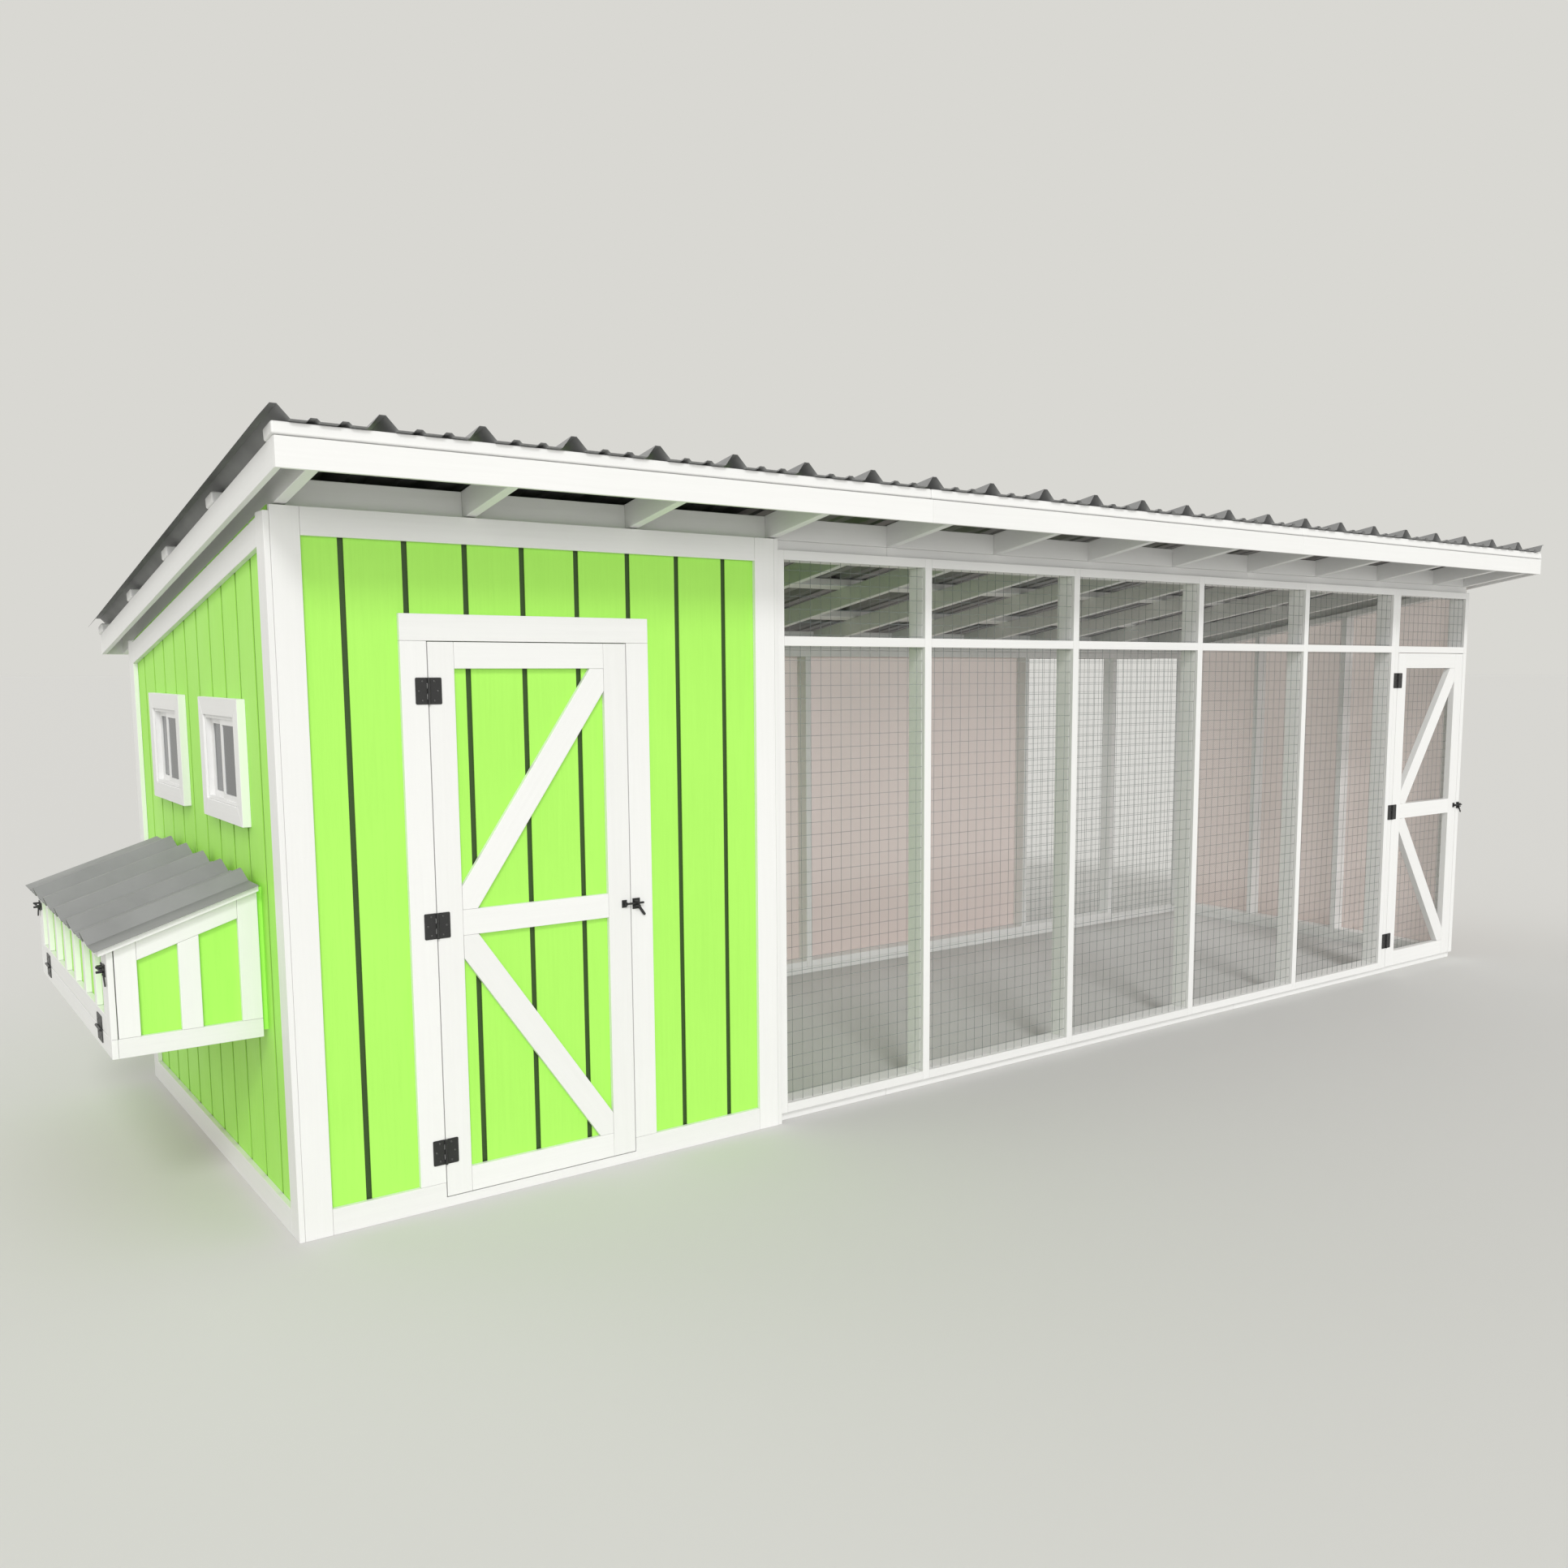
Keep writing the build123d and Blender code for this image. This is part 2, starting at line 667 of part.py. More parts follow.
finish(corner_boards.part, "corner_boards")

# Base boards between the corner boards, lowered under the door
base_x = (corner_x[0][1] + hairline, corner_x[1][0] - hairline)
casing_left = door_left - door_gap - board_wide
casing_right = door_right + door_gap + board_wide
front_trim_y = (front_face, front_face + board_thick)
with BuildPart() as base_boards:
    block(base_x, front_trim_y, (0, board_wide))
    cut_block(doorway, front_trim_y, (door_bottom - door_gap, board_wide))
    block(base_x, (back_face - board_thick, back_face), (0, board_wide))
    side_span = (front_face + board_wide + hairline, back_face - board_wide - hairline)
    block((left_face, left_face + board_thick), side_span, (0, board_wide))
finish(base_boards.part, "base_boards")

# Frieze boards under the eaves and down the left rake
frieze_fall = frieze_drop + board_wide / cos(roof_angle)
frieze_outline = [
    (side_span[0], rafter_bottom(side_span[0]) - frieze_drop),
    (side_span[1], rafter_bottom(side_span[1]) - frieze_drop),
    (side_span[1], rafter_bottom(side_span[1]) - frieze_fall),
    (side_span[0], rafter_bottom(side_span[0]) - frieze_fall),
]
left_frieze = prism(Plane.YZ.offset(left_face), frieze_outline, board_thick)
with BuildPart() as frieze_boards:
    block(base_x, front_trim_y, (front_plate_top - board_wide, front_plate_top))
    block(base_x, (back_face - board_thick, back_face), (back_trim_top - board_wide, back_trim_top))
    add(left_frieze)
finish(frieze_boards.part, "frieze_boards")

# Door casing
casing_top = door_top + door_gap
with BuildPart() as door_casing:
    for x in ((casing_left, casing_left + board_wide), (casing_right - board_wide, casing_right)):
        block(x, front_trim_y, (board_wide + hairline, casing_top - hairline))
    block((casing_left, casing_right), front_trim_y, (casing_top, casing_top + board_wide))
finish(door_casing.part, "door_casing")


def door_boards(left, right, bottom, top, y):
    """Stiles, three rails and two braces that meet at the hinge side of the middle rail."""
    inner_left = left + board_wide + hairline
    inner_right = right - board_wide - hairline
    centre = (bottom + top) / 2
    block((left, left + board_wide), y, (bottom, top))
    block((right - board_wide, right), y, (bottom, top))
    for low in (bottom, centre - board_wide / 2, top - board_wide):
        block((inner_left, inner_right), y, (low, low + board_wide))


def brace_outline(left, right, low, high):
    """Diagonal board in a rectangle, square to neither side, cut to both of its corners."""
    run = right - left
    rise = high - low
    length = (run ** 2 + rise ** 2) ** 0.5
    side = board_wide * length / rise / 2
    foot = board_wide * length / run / 2
    return [
        (left, low),
        (left + side, low),
        (right, high - foot),
        (right, high),
        (right - side, high),
        (left, low + foot),
    ]


def door_braces(left, right, bottom, top, y_start, thick):
    """Upper and lower brace of a door, both rising away from the middle rail at the hinge side."""
    inner = (left + board_wide + 2 * hairline, right - board_wide - 2 * hairline)
    centre = (bottom + top) / 2
    upper = (centre + board_wide / 2 + hairline, top - board_wide - hairline)
    lower = (bottom + board_wide + hairline, centre - board_wide / 2 - hairline)
    plane = Plane(origin=(0, y_start + thick, 0), x_dir=(1, 0, 0), z_dir=(0, -1, 0))
    upper_points = brace_outline(inner[0], inner[1], upper[0], upper[1])
    lower_points = [(x, lower[0] + lower[1] - z) for x, z in brace_outline(inner[0], inner[1], *lower)]
    return [prism(plane, points, thick) for points in (upper_points, lower_points)]


# Coop door: grooved panel with boards on its face
panel_y = (front_face + board_thick, frame_front - hairline)
door_panel_x = (door_left, door_right)
with BuildPart() as coop_door_panel:
    block(door_panel_x, panel_y, (door_bottom, door_top))
    for x in front_grooves:
        if door_left + groove_wide < x < door_right - groove_wide:
            groove = (x - groove_wide / 2, x + groove_wide / 2)
            cut_block(groove, (panel_y[0], panel_y[0] + groove_deep), (door_bottom, door_top))
finish(coop_door_panel.part, "coop_door_panel")

coop_braces = door_braces(door_left, door_right, door_bottom, door_top, front_face, board_thick)
with BuildPart() as coop_door_frame:
    door_boards(door_left, door_right, door_bottom, door_top, front_trim_y)
    for brace in coop_braces:
        add(brace)
finish(coop_door_frame.part, "coop_door_frame")

# Run door: heavier boards with wire on the inside
run_door_y = (batten_face, batten_face + stud_thick)
run_braces = door_braces(
    run_door_left, run_door_right, run_door_bottom, run_door_top, run_door_y[0], stud_thick
)
with BuildPart() as run_door_frame:
    door_boards(run_door_left, run_door_right, run_door_bottom, run_door_top, run_door_y)
    for brace in run_braces:
        add(brace)
finish(run_door_frame.part, "run_door_frame")

wire_inset = 0.5 * inch
with BuildPart() as run_door_mesh:
    wire_x = (run_door_left + wire_inset, run_door_right - wire_inset)
    wire_z = (run_door_bottom + wire_inset, run_door_top - wire_inset)
    block(wire_x, (run_door_y[1], run_door_y[1] + wire_thick), wire_z)
finish(run_door_mesh.part, "run_door_mesh")

# Windows in the left wall: casing, frame, fixed half and sliding half
casing_x = (left_face + board_thick - window_casing_thick, left_face + board_thick)
window_casing_solids = []
for start in window_fronts:
    low_y = start - window_casing_wide
    high_y = start + window_length + window_casing_wide
    low_z = window_bottom - window_casing_wide
    high_z = window_top + window_casing_wide
    end_y = start + window_length
    outlines = [
        [(low_y, high_z), (high_y, high_z), (end_y, window_top), (start, window_top)],
        [(low_y, low_z), (high_y, low_z), (end_y, window_bottom), (start, window_bottom)],
        [(low_y, low_z), (start, window_bottom), (start, window_top), (low_y, high_z)],
        [(high_y, low_z), (end_y, window_bottom), (end_y, window_top), (high_y, high_z)],
    ]
    shifts = ((0, hairline), (0, -hairline), (-hairline, 0), (hairline, 0))
    for outline, shift in zip(outlines, shifts):
        moved = [(y + shift[0], z + shift[1]) for y, z in outline]
        window_casing_solids.append(prism(Plane.YZ.offset(casing_x[0]), moved, window_casing_thick))
with BuildPart() as window_casings:
    for solid in window_casing_solids:
        add(solid)
finish(window_casings.part, "window_casings")

frame_x = (left_face + board_thick - window_frame_proud, left_face + board_thick + window_frame_deep)
fixed_x = (frame_x[0] + sash_setback, frame_x[0] + sash_setback + sash_thick)
slide_x = (fixed_x[1] + sash_play, fixed_x[1] + sash_play + sash_thick)
with BuildPart() as window_frames:
    for start in window_fronts:
        outer_y = (start + hairline, start + window_length - hairline)
        outer_z = (window_bottom + hairline, window_top - hairline)
        inner_y = (outer_y[0] + window_frame_wide, outer_y[1] - window_frame_wide)
        inner_z = (outer_z[0] + window_frame_wide, outer_z[1] - window_frame_wide)
        block(frame_x, outer_y, outer_z)
        cut_block(frame_x, inner_y, inner_z)
finish(window_frames.part, "window_frames")


def sash_places(start):
    """Clear opening of one window frame and its middle."""
    low = start + hairline + window_frame_wide
    high = start + window_length - hairline - window_frame_wide
    return low, high, (low + high) / 2


sash_z = (window_bottom + window_frame_wide + hairline, window_top - window_frame_wide - hairline)


def sash_ring(x, y):
    """Sash with a square opening for its pane."""
    block(x, y, sash_z)
    cut_block(x, (y[0] + sash_wide, y[1] - sash_wide), (sash_z[0] + sash_wide, sash_z[1] - sash_wide))


def pane(x, y):
    """Pane set in the middle of its sash with a hairline all round."""
    middle_x = (x[0] + x[1]) / 2
    pane_y = (y[0] + sash_wide + hairline, y[1] - sash_wide - hairline)
    pane_z = (sash_z[0] + sash_wide + hairline, sash_z[1] - sash_wide - hairline)
    block((middle_x - pane_thick / 2, middle_x + pane_thick / 2), pane_y, pane_z)


fixed_spans = []
slide_spans = []
for start in window_fronts:
    low, high, centre = sash_places(start)
    fixed_spans.append((low + hairline, centre + sash_wide / 2))
    slide_spans.append((centre - sash_wide / 2, high - sash_play))
slide_travel = slide_spans[0][0] - fixed_spans[0][0] - sash_play

with BuildPart() as fixed_sashes:
    for span in fixed_spans:
        sash_ring(fixed_x, span)
finish(fixed_sashes.part, "fixed_sashes")

with BuildPart() as fixed_panes:
    for span in fixed_spans:
        pane(fixed_x, span)
finish(fixed_panes.part, "fixed_panes")

catch_size = (0.4 * inch, 1.0 * inch, 0.5 * inch)
for name, span in zip(("front_window", "rear_window"), slide_spans):
    with BuildPart() as sliding_sash:
        sash_ring(slide_x, span)
        catch_x = (slide_x[1], slide_x[1] + catch_size[0])
        catch_y = (span[0], span[0] + catch_size[1])
        sash_middle = (sash_z[0] + sash_z[1]) / 2
        block(catch_x, catch_y, (sash_middle - catch_size[2] / 2, sash_middle + catch_size[2] / 2))
    finish(sliding_sash.part, f"{name}_sash")
    with BuildPart() as sliding_pane:
        pane(slide_x, span)
    finish(sliding_pane.part, f"{name}_pane")

# Nest box: floor, sides, trim, dividers, lid and drop-down door
nest_outer = left_face - nest_reach
nest_wall = left_face + board_thick
nest_board_outer = nest_outer + board_thick


def nest_line(x):
    """Top line of the nest box sides, under the lid frame."""
    return nest_top - (left_face - x) * nest_pitch


nest_door_bottom = nest_bottom + nest_trim_wide + door_gap
nest_door_top = nest_line(nest_outer) - nest_door_headroom
with BuildPart() as nest_floor:
    floor_x = (nest_board_outer, frame_left + stud_wide)
    floor_z = (nest_opening_bottom - nest_floor_thick, nest_opening_bottom)
    block(floor_x, (nest_inside_front + hairline, nest_inside_back - hairline), floor_z)
finish(nest_floor.part, "nest_floor")

panel_start = nest_board_outer + nest_panel_thick + door_gap
panel_outline = [
    (panel_start, nest_bottom + board_thick),
    (nest_wall, nest_bottom + board_thick),
    (nest_wall, nest_line(nest_wall)),
    (panel_start, nest_line(panel_start)),
]
xz_front = Plane(origin=(0, 0, 0), x_dir=(1, 0, 0), z_dir=(0, -1, 0))
near_panel = prism(xz_front.offset(-(nest_front + board_thick + nest_panel_thick)), panel_outline, nest_panel_thick)
far_panel = prism(xz_front.offset(-(nest_back - board_thick)), panel_outline, nest_panel_thick)
with BuildPart() as nest_side_panels:
    add(near_panel)
    add(far_panel)
finish(nest_side_panels.part, "nest_side_panels")

# Side trim: base, three uprights and a sloped top board, on each side
nest_rise = nest_trim_wide / cos(nest_angle)
outer_post = (nest_outer + door_gap + board_thick, nest_outer + door_gap + board_thick + nest_trim_wide)
rear_post = (left_face - nest_trim_wide, left_face)
mid_start = middle(outer_post[1], rear_post[0]) - nest_trim_wide / 2
mid_post = (mid_start, mid_start + nest_trim_wide)
base_top = nest_bottom + nest_trim_wide
post_bottom = base_top + hairline


def sloped_post(span, top_drop):
    """Outline of an upright whose top follows the nest box lid."""
    return [
        (span[0], post_bottom),
        (span[1], post_bottom),
        (span[1], nest_line(span[1]) - top_drop),
        (span[0], nest_line(span[0]) - top_drop),
    ]


top_board = (outer_post[1] + hairline, rear_post[0] - hairline)
top_board_outline = [
    (top_board[0], nest_line(top_board[0]) - nest_rise),
    (top_board[1], nest_line(top_board[1]) - nest_rise),
    (top_board[1], nest_line(top_board[1])),
    (top_board[0], nest_line(top_board[0])),
]
base_outline = [
    (nest_board_outer + hairline, nest_bottom),
    (left_face, nest_bottom),
    (left_face, base_top),
    (nest_board_outer + hairline, base_top),
]
trim_outlines = [
    base_outline,
    sloped_post(outer_post, 0),
    sloped_post(rear_post, 0),
    sloped_post(mid_post, nest_rise + hairline),
    top_board_outline,
]
nest_trim_solids = []
for face in (nest_front + board_thick, nest_back):
    for outline in trim_outlines:
        nest_trim_solids.append(prism(xz_front.offset(-face), outline, board_thick))
with BuildPart() as nest_trim_boards:
    for solid in nest_trim_solids:
        add(solid)
    block((nest_outer, nest_board_outer), (nest_front, nest_back), (nest_bottom, base_top))
    for y in (nest_front, nest_back - nest_trim_wide):
        face_post = (y, y + nest_trim_wide)
        block((nest_outer, nest_board_outer), face_post, (post_bottom, nest_line(nest_outer)))
finish(nest_trim_boards.part, "nest_trim_boards")

nest_inside = nest_inside_back - nest_inside_front
divider_outline = [
    (panel_start, nest_opening_bottom),
    (nest_wall - hairline, nest_opening_bottom),
    (nest_wall - hairline, nest_line(nest_wall) - nest_divider_drop),
    (panel_start, nest_line(panel_start) - nest_divider_drop),
]
divider_solids = []
for n in range(1, nest_compartments):
    y = nest_inside_front + n * nest_inside / nest_compartments + nest_panel_thick / 2
    divider_solids.append(prism(xz_front.offset(-y), divider_outline, nest_panel_thick))
with BuildPart() as nest_dividers:
    for solid in divider_solids:
        add(solid)
finish(nest_dividers.part, "nest_dividers")

# Lid: a rim of boards under ribbed sheets that fall away from the wall
lid_outer = left_face - lid_reach
lid_rise = nest_lid_frame_thick / cos(nest_angle)
lid_span = (lid_outer + 1.0 * inch, left_face)
lid_outline = [
    (lid_span[0], nest_line(lid_span[0])),
    (lid_span[1], nest_line(lid_span[1])),
    (lid_span[1], nest_line(lid_span[1]) + lid_rise),
    (lid_span[0], nest_line(lid_span[0]) + lid_rise),
]
lid_front = nest_front - 1.0 * inch
lid_back = nest_back + 1.0 * inch
lid_board = prism(xz_front.offset(-lid_back), lid_outline, lid_back - lid_front)
with BuildPart() as nest_lid_board:
    add(lid_board)
finish(nest_lid_board.part, "nest_lid_board")

lid_sheet_plane = Plane(
    origin=(left_face - 1.0, 0, nest_line(left_face - 1.0) + lid_rise),
    x_dir=(0, 1, 0),
    z_dir=(-cos(nest_angle), 0, -sin(nest_angle)),
)
lid_ribs = int((lid_back - lid_front) / nest_rib_pitch)
lid_start = middle(lid_front, lid_back) - lid_ribs * nest_rib_pitch / 2 + rib_base / 2
lid_profile = [(lid_front - 0.5 * inch, 0)]
for n in range(lid_ribs):
    lid_profile += rib(lid_start + n * nest_rib_pitch, rib_base, rib_top, rib_height)
    for place in minor_rib_places:
        centre = lid_start + (n + place / rib_pitch) * nest_rib_pitch
        lid_profile += rib(centre, minor_rib_base, minor_rib_top, minor_rib_height)
lid_profile.append((lid_back + 0.5 * inch, 0))
lid_sheet_length = (lid_reach - lid_nose - 1.0) / cos(nest_angle)
with BuildPart() as nest_lid_sheet:
    with BuildSketch(lid_sheet_plane):
        with BuildLine():
            Polyline(*sheet_outline(lid_profile, sheet_lift), close=True)
        make_face()
    extrude(amount=lid_sheet_length)
finish(nest_lid_sheet.part, "nest_lid_sheet")

# Drop-down nest door: panel with a bottom rail and upright battens
nest_door_y = (nest_front + nest_trim_wide + door_gap, nest_back - nest_trim_wide - door_gap)
nest_door_panel_x = (nest_board_outer, nest_board_outer + nest_panel_thick)
with BuildPart() as nest_door_panel:
    block(nest_door_panel_x, nest_door_y, (nest_door_bottom, nest_door_top))
finish(nest_door_panel.part, "nest_door_panel")

nest_rail_top = nest_door_bottom + nest_door_rail
board_x = (nest_outer, nest_board_outer)
with BuildPart() as nest_door_boards:
    block(board_x, nest_door_y, (nest_door_bottom, nest_rail_top))
    upright_places = [nest_door_y[0], nest_door_y[1] - batten_wide]
    for n in range(nest_batten_count):
        upright_places.append(nest_front + nest_batten_first + n * nest_batten_pitch)
    for y in upright_places:
        block(board_x, (y, y + batten_wide), (nest_rail_top + hairline, nest_door_top))
finish(nest_door_boards.part, "nest_door_boards")


# Butt hinges. Local frame: barrel axis along Z, plates in the X-Z plane facing -Y, face at y = 0
barrel_y = -(barrel_radius + barrel_clear)
knuckle_height = hinge_height / knuckle_count


def hinge_half(side):
    """One leaf and its screws: side -1 holds the odd knuckles, side +1 the even ones."""
    own = [n for n in range(knuckle_count) if (n % 2 == 0) == (side < 0)]
    clear = barrel_radius + 0.6
    with BuildPart() as leaf:
        near = side * clear
        far = side * hinge_leaf
        block((min(near, far), max(near, far)), (-hinge_plate, 0), (-hinge_height / 2, hinge_height / 2))
        for n in own:
            low = -hinge_height / 2 + n * knuckle_height + knuckle_gap / 2
            tall = knuckle_height - knuckle_gap
            with Locations((0, barrel_y, low + tall / 2)):
                Cylinder(barrel_radius, tall)
            reach = (min(near, 0), max(near, 0))
            block(reach, (-hinge_plate, 0 - barrel_clear), (low, low + tall))
        with Locations((0, barrel_y, 0)):
            Cylinder(pin_radius + pin_clear, hinge_height, mode=Mode.SUBTRACT)
        screw_x = side * (hinge_leaf + clear) / 2
        screws = [(screw_x + side * shift, -hinge_plate / 2, height * hinge_height)
                  for shift, height in hinge_screws]
        with Locations(*screws):
            Cylinder(hinge_screw_radius, 2 * hinge_plate, rotation=(90, 0, 0), mode=Mode.SUBTRACT)
        with Locations(*screws):
            Cylinder(hinge_screw_radius - screw_clear, hinge_plate, rotation=(90, 0, 0))
    return leaf.part


with BuildPart() as pin_shape:
    with Locations((0, barrel_y, 0)):
        Cylinder(pin_radius, hinge_height)

fixed_half = hinge_half(-1)
moving_half = hinge_half(1)


def hinge_heights(bottom, top):
    return (bottom + hinge_inset, (bottom + top) / 2, top - hinge_inset)


coop_hinge_x = door_left - door_gap / 2
run_hinge_x = run_door_left - run_door_gap / 2
coop_hinges = [Location((coop_hinge_x, front_face, z)) for z in hinge_heights(door_bottom, door_top)]
run_hinges = [
    Location((run_hinge_x, batten_face, z)) for z in hinge_heights(run_door_bottom, run_door_top)
]
# The nest hinges lie on their side: local X points up, local -Y points outwards
nest_hinge_z = base_top + door_gap / 2
nest_hinge_plane = Plane(origin=(0, 0, 0), x_dir=(0, 0, 1), z_dir=(0, 1, 0))
nest_hinges = []
for y in (nest_front + nest_hinge_inset, nest_back - nest_hinge_inset):
    nest_hinges.append(Plane(origin=(nest_outer, y, nest_hinge_z), x_dir=(0, 0, 1), z_dir=(0, 1, 0)).location)

with BuildPart() as fixed_hinge_leaves:
    with Locations(*(coop_hinges + run_hinges + nest_hinges)):
        add(fixed_half)
finish(fixed_hinge_leaves.part, "fixed_hinge_leaves")

with BuildPart() as hinge_pins:
    with Locations(*(coop_hinges + run_hinges + nest_hinges)):
        add(pin_shape.part)
finish(hinge_pins.part, "hinge_pins")

for name, places in (
    ("coop_door_hinge_leaves", coop_hinges),
    ("run_door_hinge_leaves", run_hinges),
    ("nest_door_hinge_leaves", nest_hinges),
):
    with BuildPart() as hinge_leaves:
        with Locations(*places):
            add(moving_half)
    finish(hinge_leaves.part, name)

# Gate latches. Local frame: boards meet at x = 0, door on the -X side, faces at y = 0
bar_inner = -26.0
cheek_z = latch_bar_radius + latch_bar_clear
plate_x = (6.0, 6.0 + latch_plate[0])
lever_y = (-(latch_plate[2] + lever_thick + 0.5), -(latch_plate[2] + 0.5))
lever_pivot = (plate_x[1] - 6.0, -(cheek_z + latch_cheek + 3.0))
with BuildPart() as latch_bar_shape:
    block((bar_inner - 12.0, bar_inner + 8.0), (-latch_plate[2], 0), (-14.0, 14.0))
    with Locations((bar_inner, -latch_bar_stand / 2 - 1, 0)):
        Box(10.0, latch_bar_stand, 12.0)
    with Locations((bar_inner + latch_bar_reach, -latch_bar_stand, 0)):
        Cylinder(latch_bar_radius, 2 * latch_bar_reach, rotation=(0, 90, 0))
with BuildPart() as latch_body_shape:
    block(plate_x, (-latch_plate[2], 0), (-latch_plate[1] / 2 - 6.0, latch_plate[1] / 2))
    for low in (cheek_z, -cheek_z - latch_cheek):
        block((plate_x[0] + 4.0, plate_x[0] + 16.0), (-latch_cheek_tall, 0), (low, low + latch_cheek))
    with Locations((lever_pivot[0], -latch_plate[2] - lever_thick / 2 - 1.0, lever_pivot[1])):
        Cylinder(lever_pin_radius, lever_thick + 2.0, rotation=(90, 0, 0))
with BuildPart() as latch_lever_shape:
    with BuildSketch(Plane(origin=(0, lever_y[1], 0), x_dir=(1, 0, 0), z_dir=(0, -1, 0))):
        with Locations(lever_pivot):
            Circle(lever_radius)
        tip = (
            lever_pivot[0] + lever_length / 2 * cos(lever_angle * pi / 180),
            lever_pivot[1] - lever_length / 2 * sin(lever_angle * pi / 180),
        )
        with Locations(Location((tip[0], tip[1], 0), (0, 0, -lever_angle))):
            SlotOverall(lever_length + 2 * lever_radius - 4.0, 1.4 * lever_radius)
        with Locations(lever_pivot):
            Circle(lever_pin_radius + 0.3, mode=Mode.SUBTRACT)
    extrude(amount=lever_thick)

latch_height = middle(door_bottom, door_top)
nest_latch_height = nest_door_top - nest_latch_drop
nest_seam = (nest_door_y[0] - door_gap / 2, nest_door_y[1] + door_gap / 2)


def latch_plane(x, y, z, turn):
    """Plane of one latch on a vertical face, turned about Z."""
    return Plane(origin=(x, y, z), x_dir=(cos(turn), sin(turn), 0), z_dir=(0, 0, 1))


def opposite(shape):
    """Left-handed copy of a latch piece."""
    with BuildPart() as flipped:
        add(shape)
        mirror(about=Plane.YZ, mode=Mode.REPLACE)
    return flipped.part


coop_latch = latch_plane(door_right + door_gap / 2, front_face, latch_height, 0)
run_latch = latch_plane(run_door_right + run_door_gap / 2, batten_face, latch_height, 0)
nest_latches = [latch_plane(nest_outer, y, nest_latch_height, -pi / 2) for y in nest_seam]
bar_shape = latch_bar_shape.part
body_shape = latch_body_shape.part
lever_shape = latch_lever_shape.part
latch_sets = (
    ("coop_latch", coop_latch, bar_shape, body_shape, lever_shape),
    ("run_latch", run_latch, bar_shape, body_shape, lever_shape),
    ("nest_front_latch", nest_latches[0], bar_shape, body_shape, lever_shape),
    ("nest_rear_latch", nest_latches[1], opposite(bar_shape), opposite(body_shape), opposite(lever_shape)),
)

with BuildPart() as latch_bodies:
    for name, plane, bar, body, lever in latch_sets:
        with Locations(plane):
            add(body)
finish(latch_bodies.part, "latch_bodies")

for name, plane, bar, body, lever in latch_sets:
    with BuildPart() as latch_lever:
        with Locations(plane):
            add(lever)
    finish(latch_lever.part, f"{name}_lever")

for name, bars in (
    ("coop_latch_bar", latch_sets[:1]),
    ("run_latch_bar", latch_sets[1:2]),
    ("nest_latch_bars", latch_sets[2:]),
):
    with BuildPart() as latch_bars:
        for entry in bars:
            with Locations(entry[1]):
                add(entry[2])
    finish(latch_bars.part, name)

# Pop door: a board that slides up between two rebated guides on the run side of the divider
pop_door_x = (coop_right - board_thick + pop_door_play, coop_right - board_thick + pop_door_play + pop_door_thick)
pop_door_y = (pop_front - pop_door_margin, pop_back + pop_door_margin)
pop_door_z = (pop_hole_bottom - pop_door_margin, pop_top + pop_door_margin)
with BuildPart() as pop_door:
    block(pop_door_x, pop_door_y, pop_door_z)
finish(pop_door.part, "pop_door")

guide_z = (pop_door_z[0] - stud_thick, pop_door_z[1] + pop_door_travel)
guide_inner = pop_door_x[1] + pop_door_play
keeper_lap = pop_door_margin - pop_door_play
with BuildPart() as pop_door_guides:
    for edge, away in ((pop_door_y[0] - pop_door_play, -1), (pop_door_y[1] + pop_door_play, 1)):
        spacer_y = sorted((edge, edge + away * pop_guide_wide))
        block((coop_right - board_thick, guide_inner), spacer_y, guide_z)
        keeper_y = sorted((edge - away * keeper_lap, edge + away * pop_guide_wide))
        block((guide_inner, guide_inner + board_thick), keeper_y, guide_z)
    rest_y = (pop_door_y[0] - pop_door_play + hairline, pop_door_y[1] + pop_door_play - hairline)
    block((coop_right - board_thick, guide_inner), rest_y, (guide_z[0], pop_door_z[0] - hairline))
finish(pop_door_guides.part, "pop_door_guides")

# Roosts: two flat bars laid on a cleat along each side wall
roost_y = (front_face + roost_offsets[0] - stud_wide, front_face + roost_offsets[1] + stud_wide)
cleat_z = (roost_height - board_wide, roost_height)
with BuildPart() as roost_cleats:
    block((frame_left + stud_wide, frame_left + stud_wide + board_thick), roost_y, cleat_z)
    block((divider_inside - board_thick, divider_inside), roost_y, cleat_z)
finish(roost_cleats.part, "roost_cleats")

with BuildPart() as roost_bars:
    bar_length = divider_inside - frame_left - stud_wide - 2 * hairline
    for offset in roost_offsets:
        bar_plane = Plane.YZ.offset(frame_left + stud_wide + hairline)
        with BuildSketch(bar_plane):
            with Locations((front_face + offset, roost_height + stud_thick / 2)):
                RectangleRounded(stud_wide, stud_thick, roost_round)
        extrude(amount=bar_length)
finish(roost_bars.part, "roost_bars")
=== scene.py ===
import json
from math import atan, cos, radians, sin

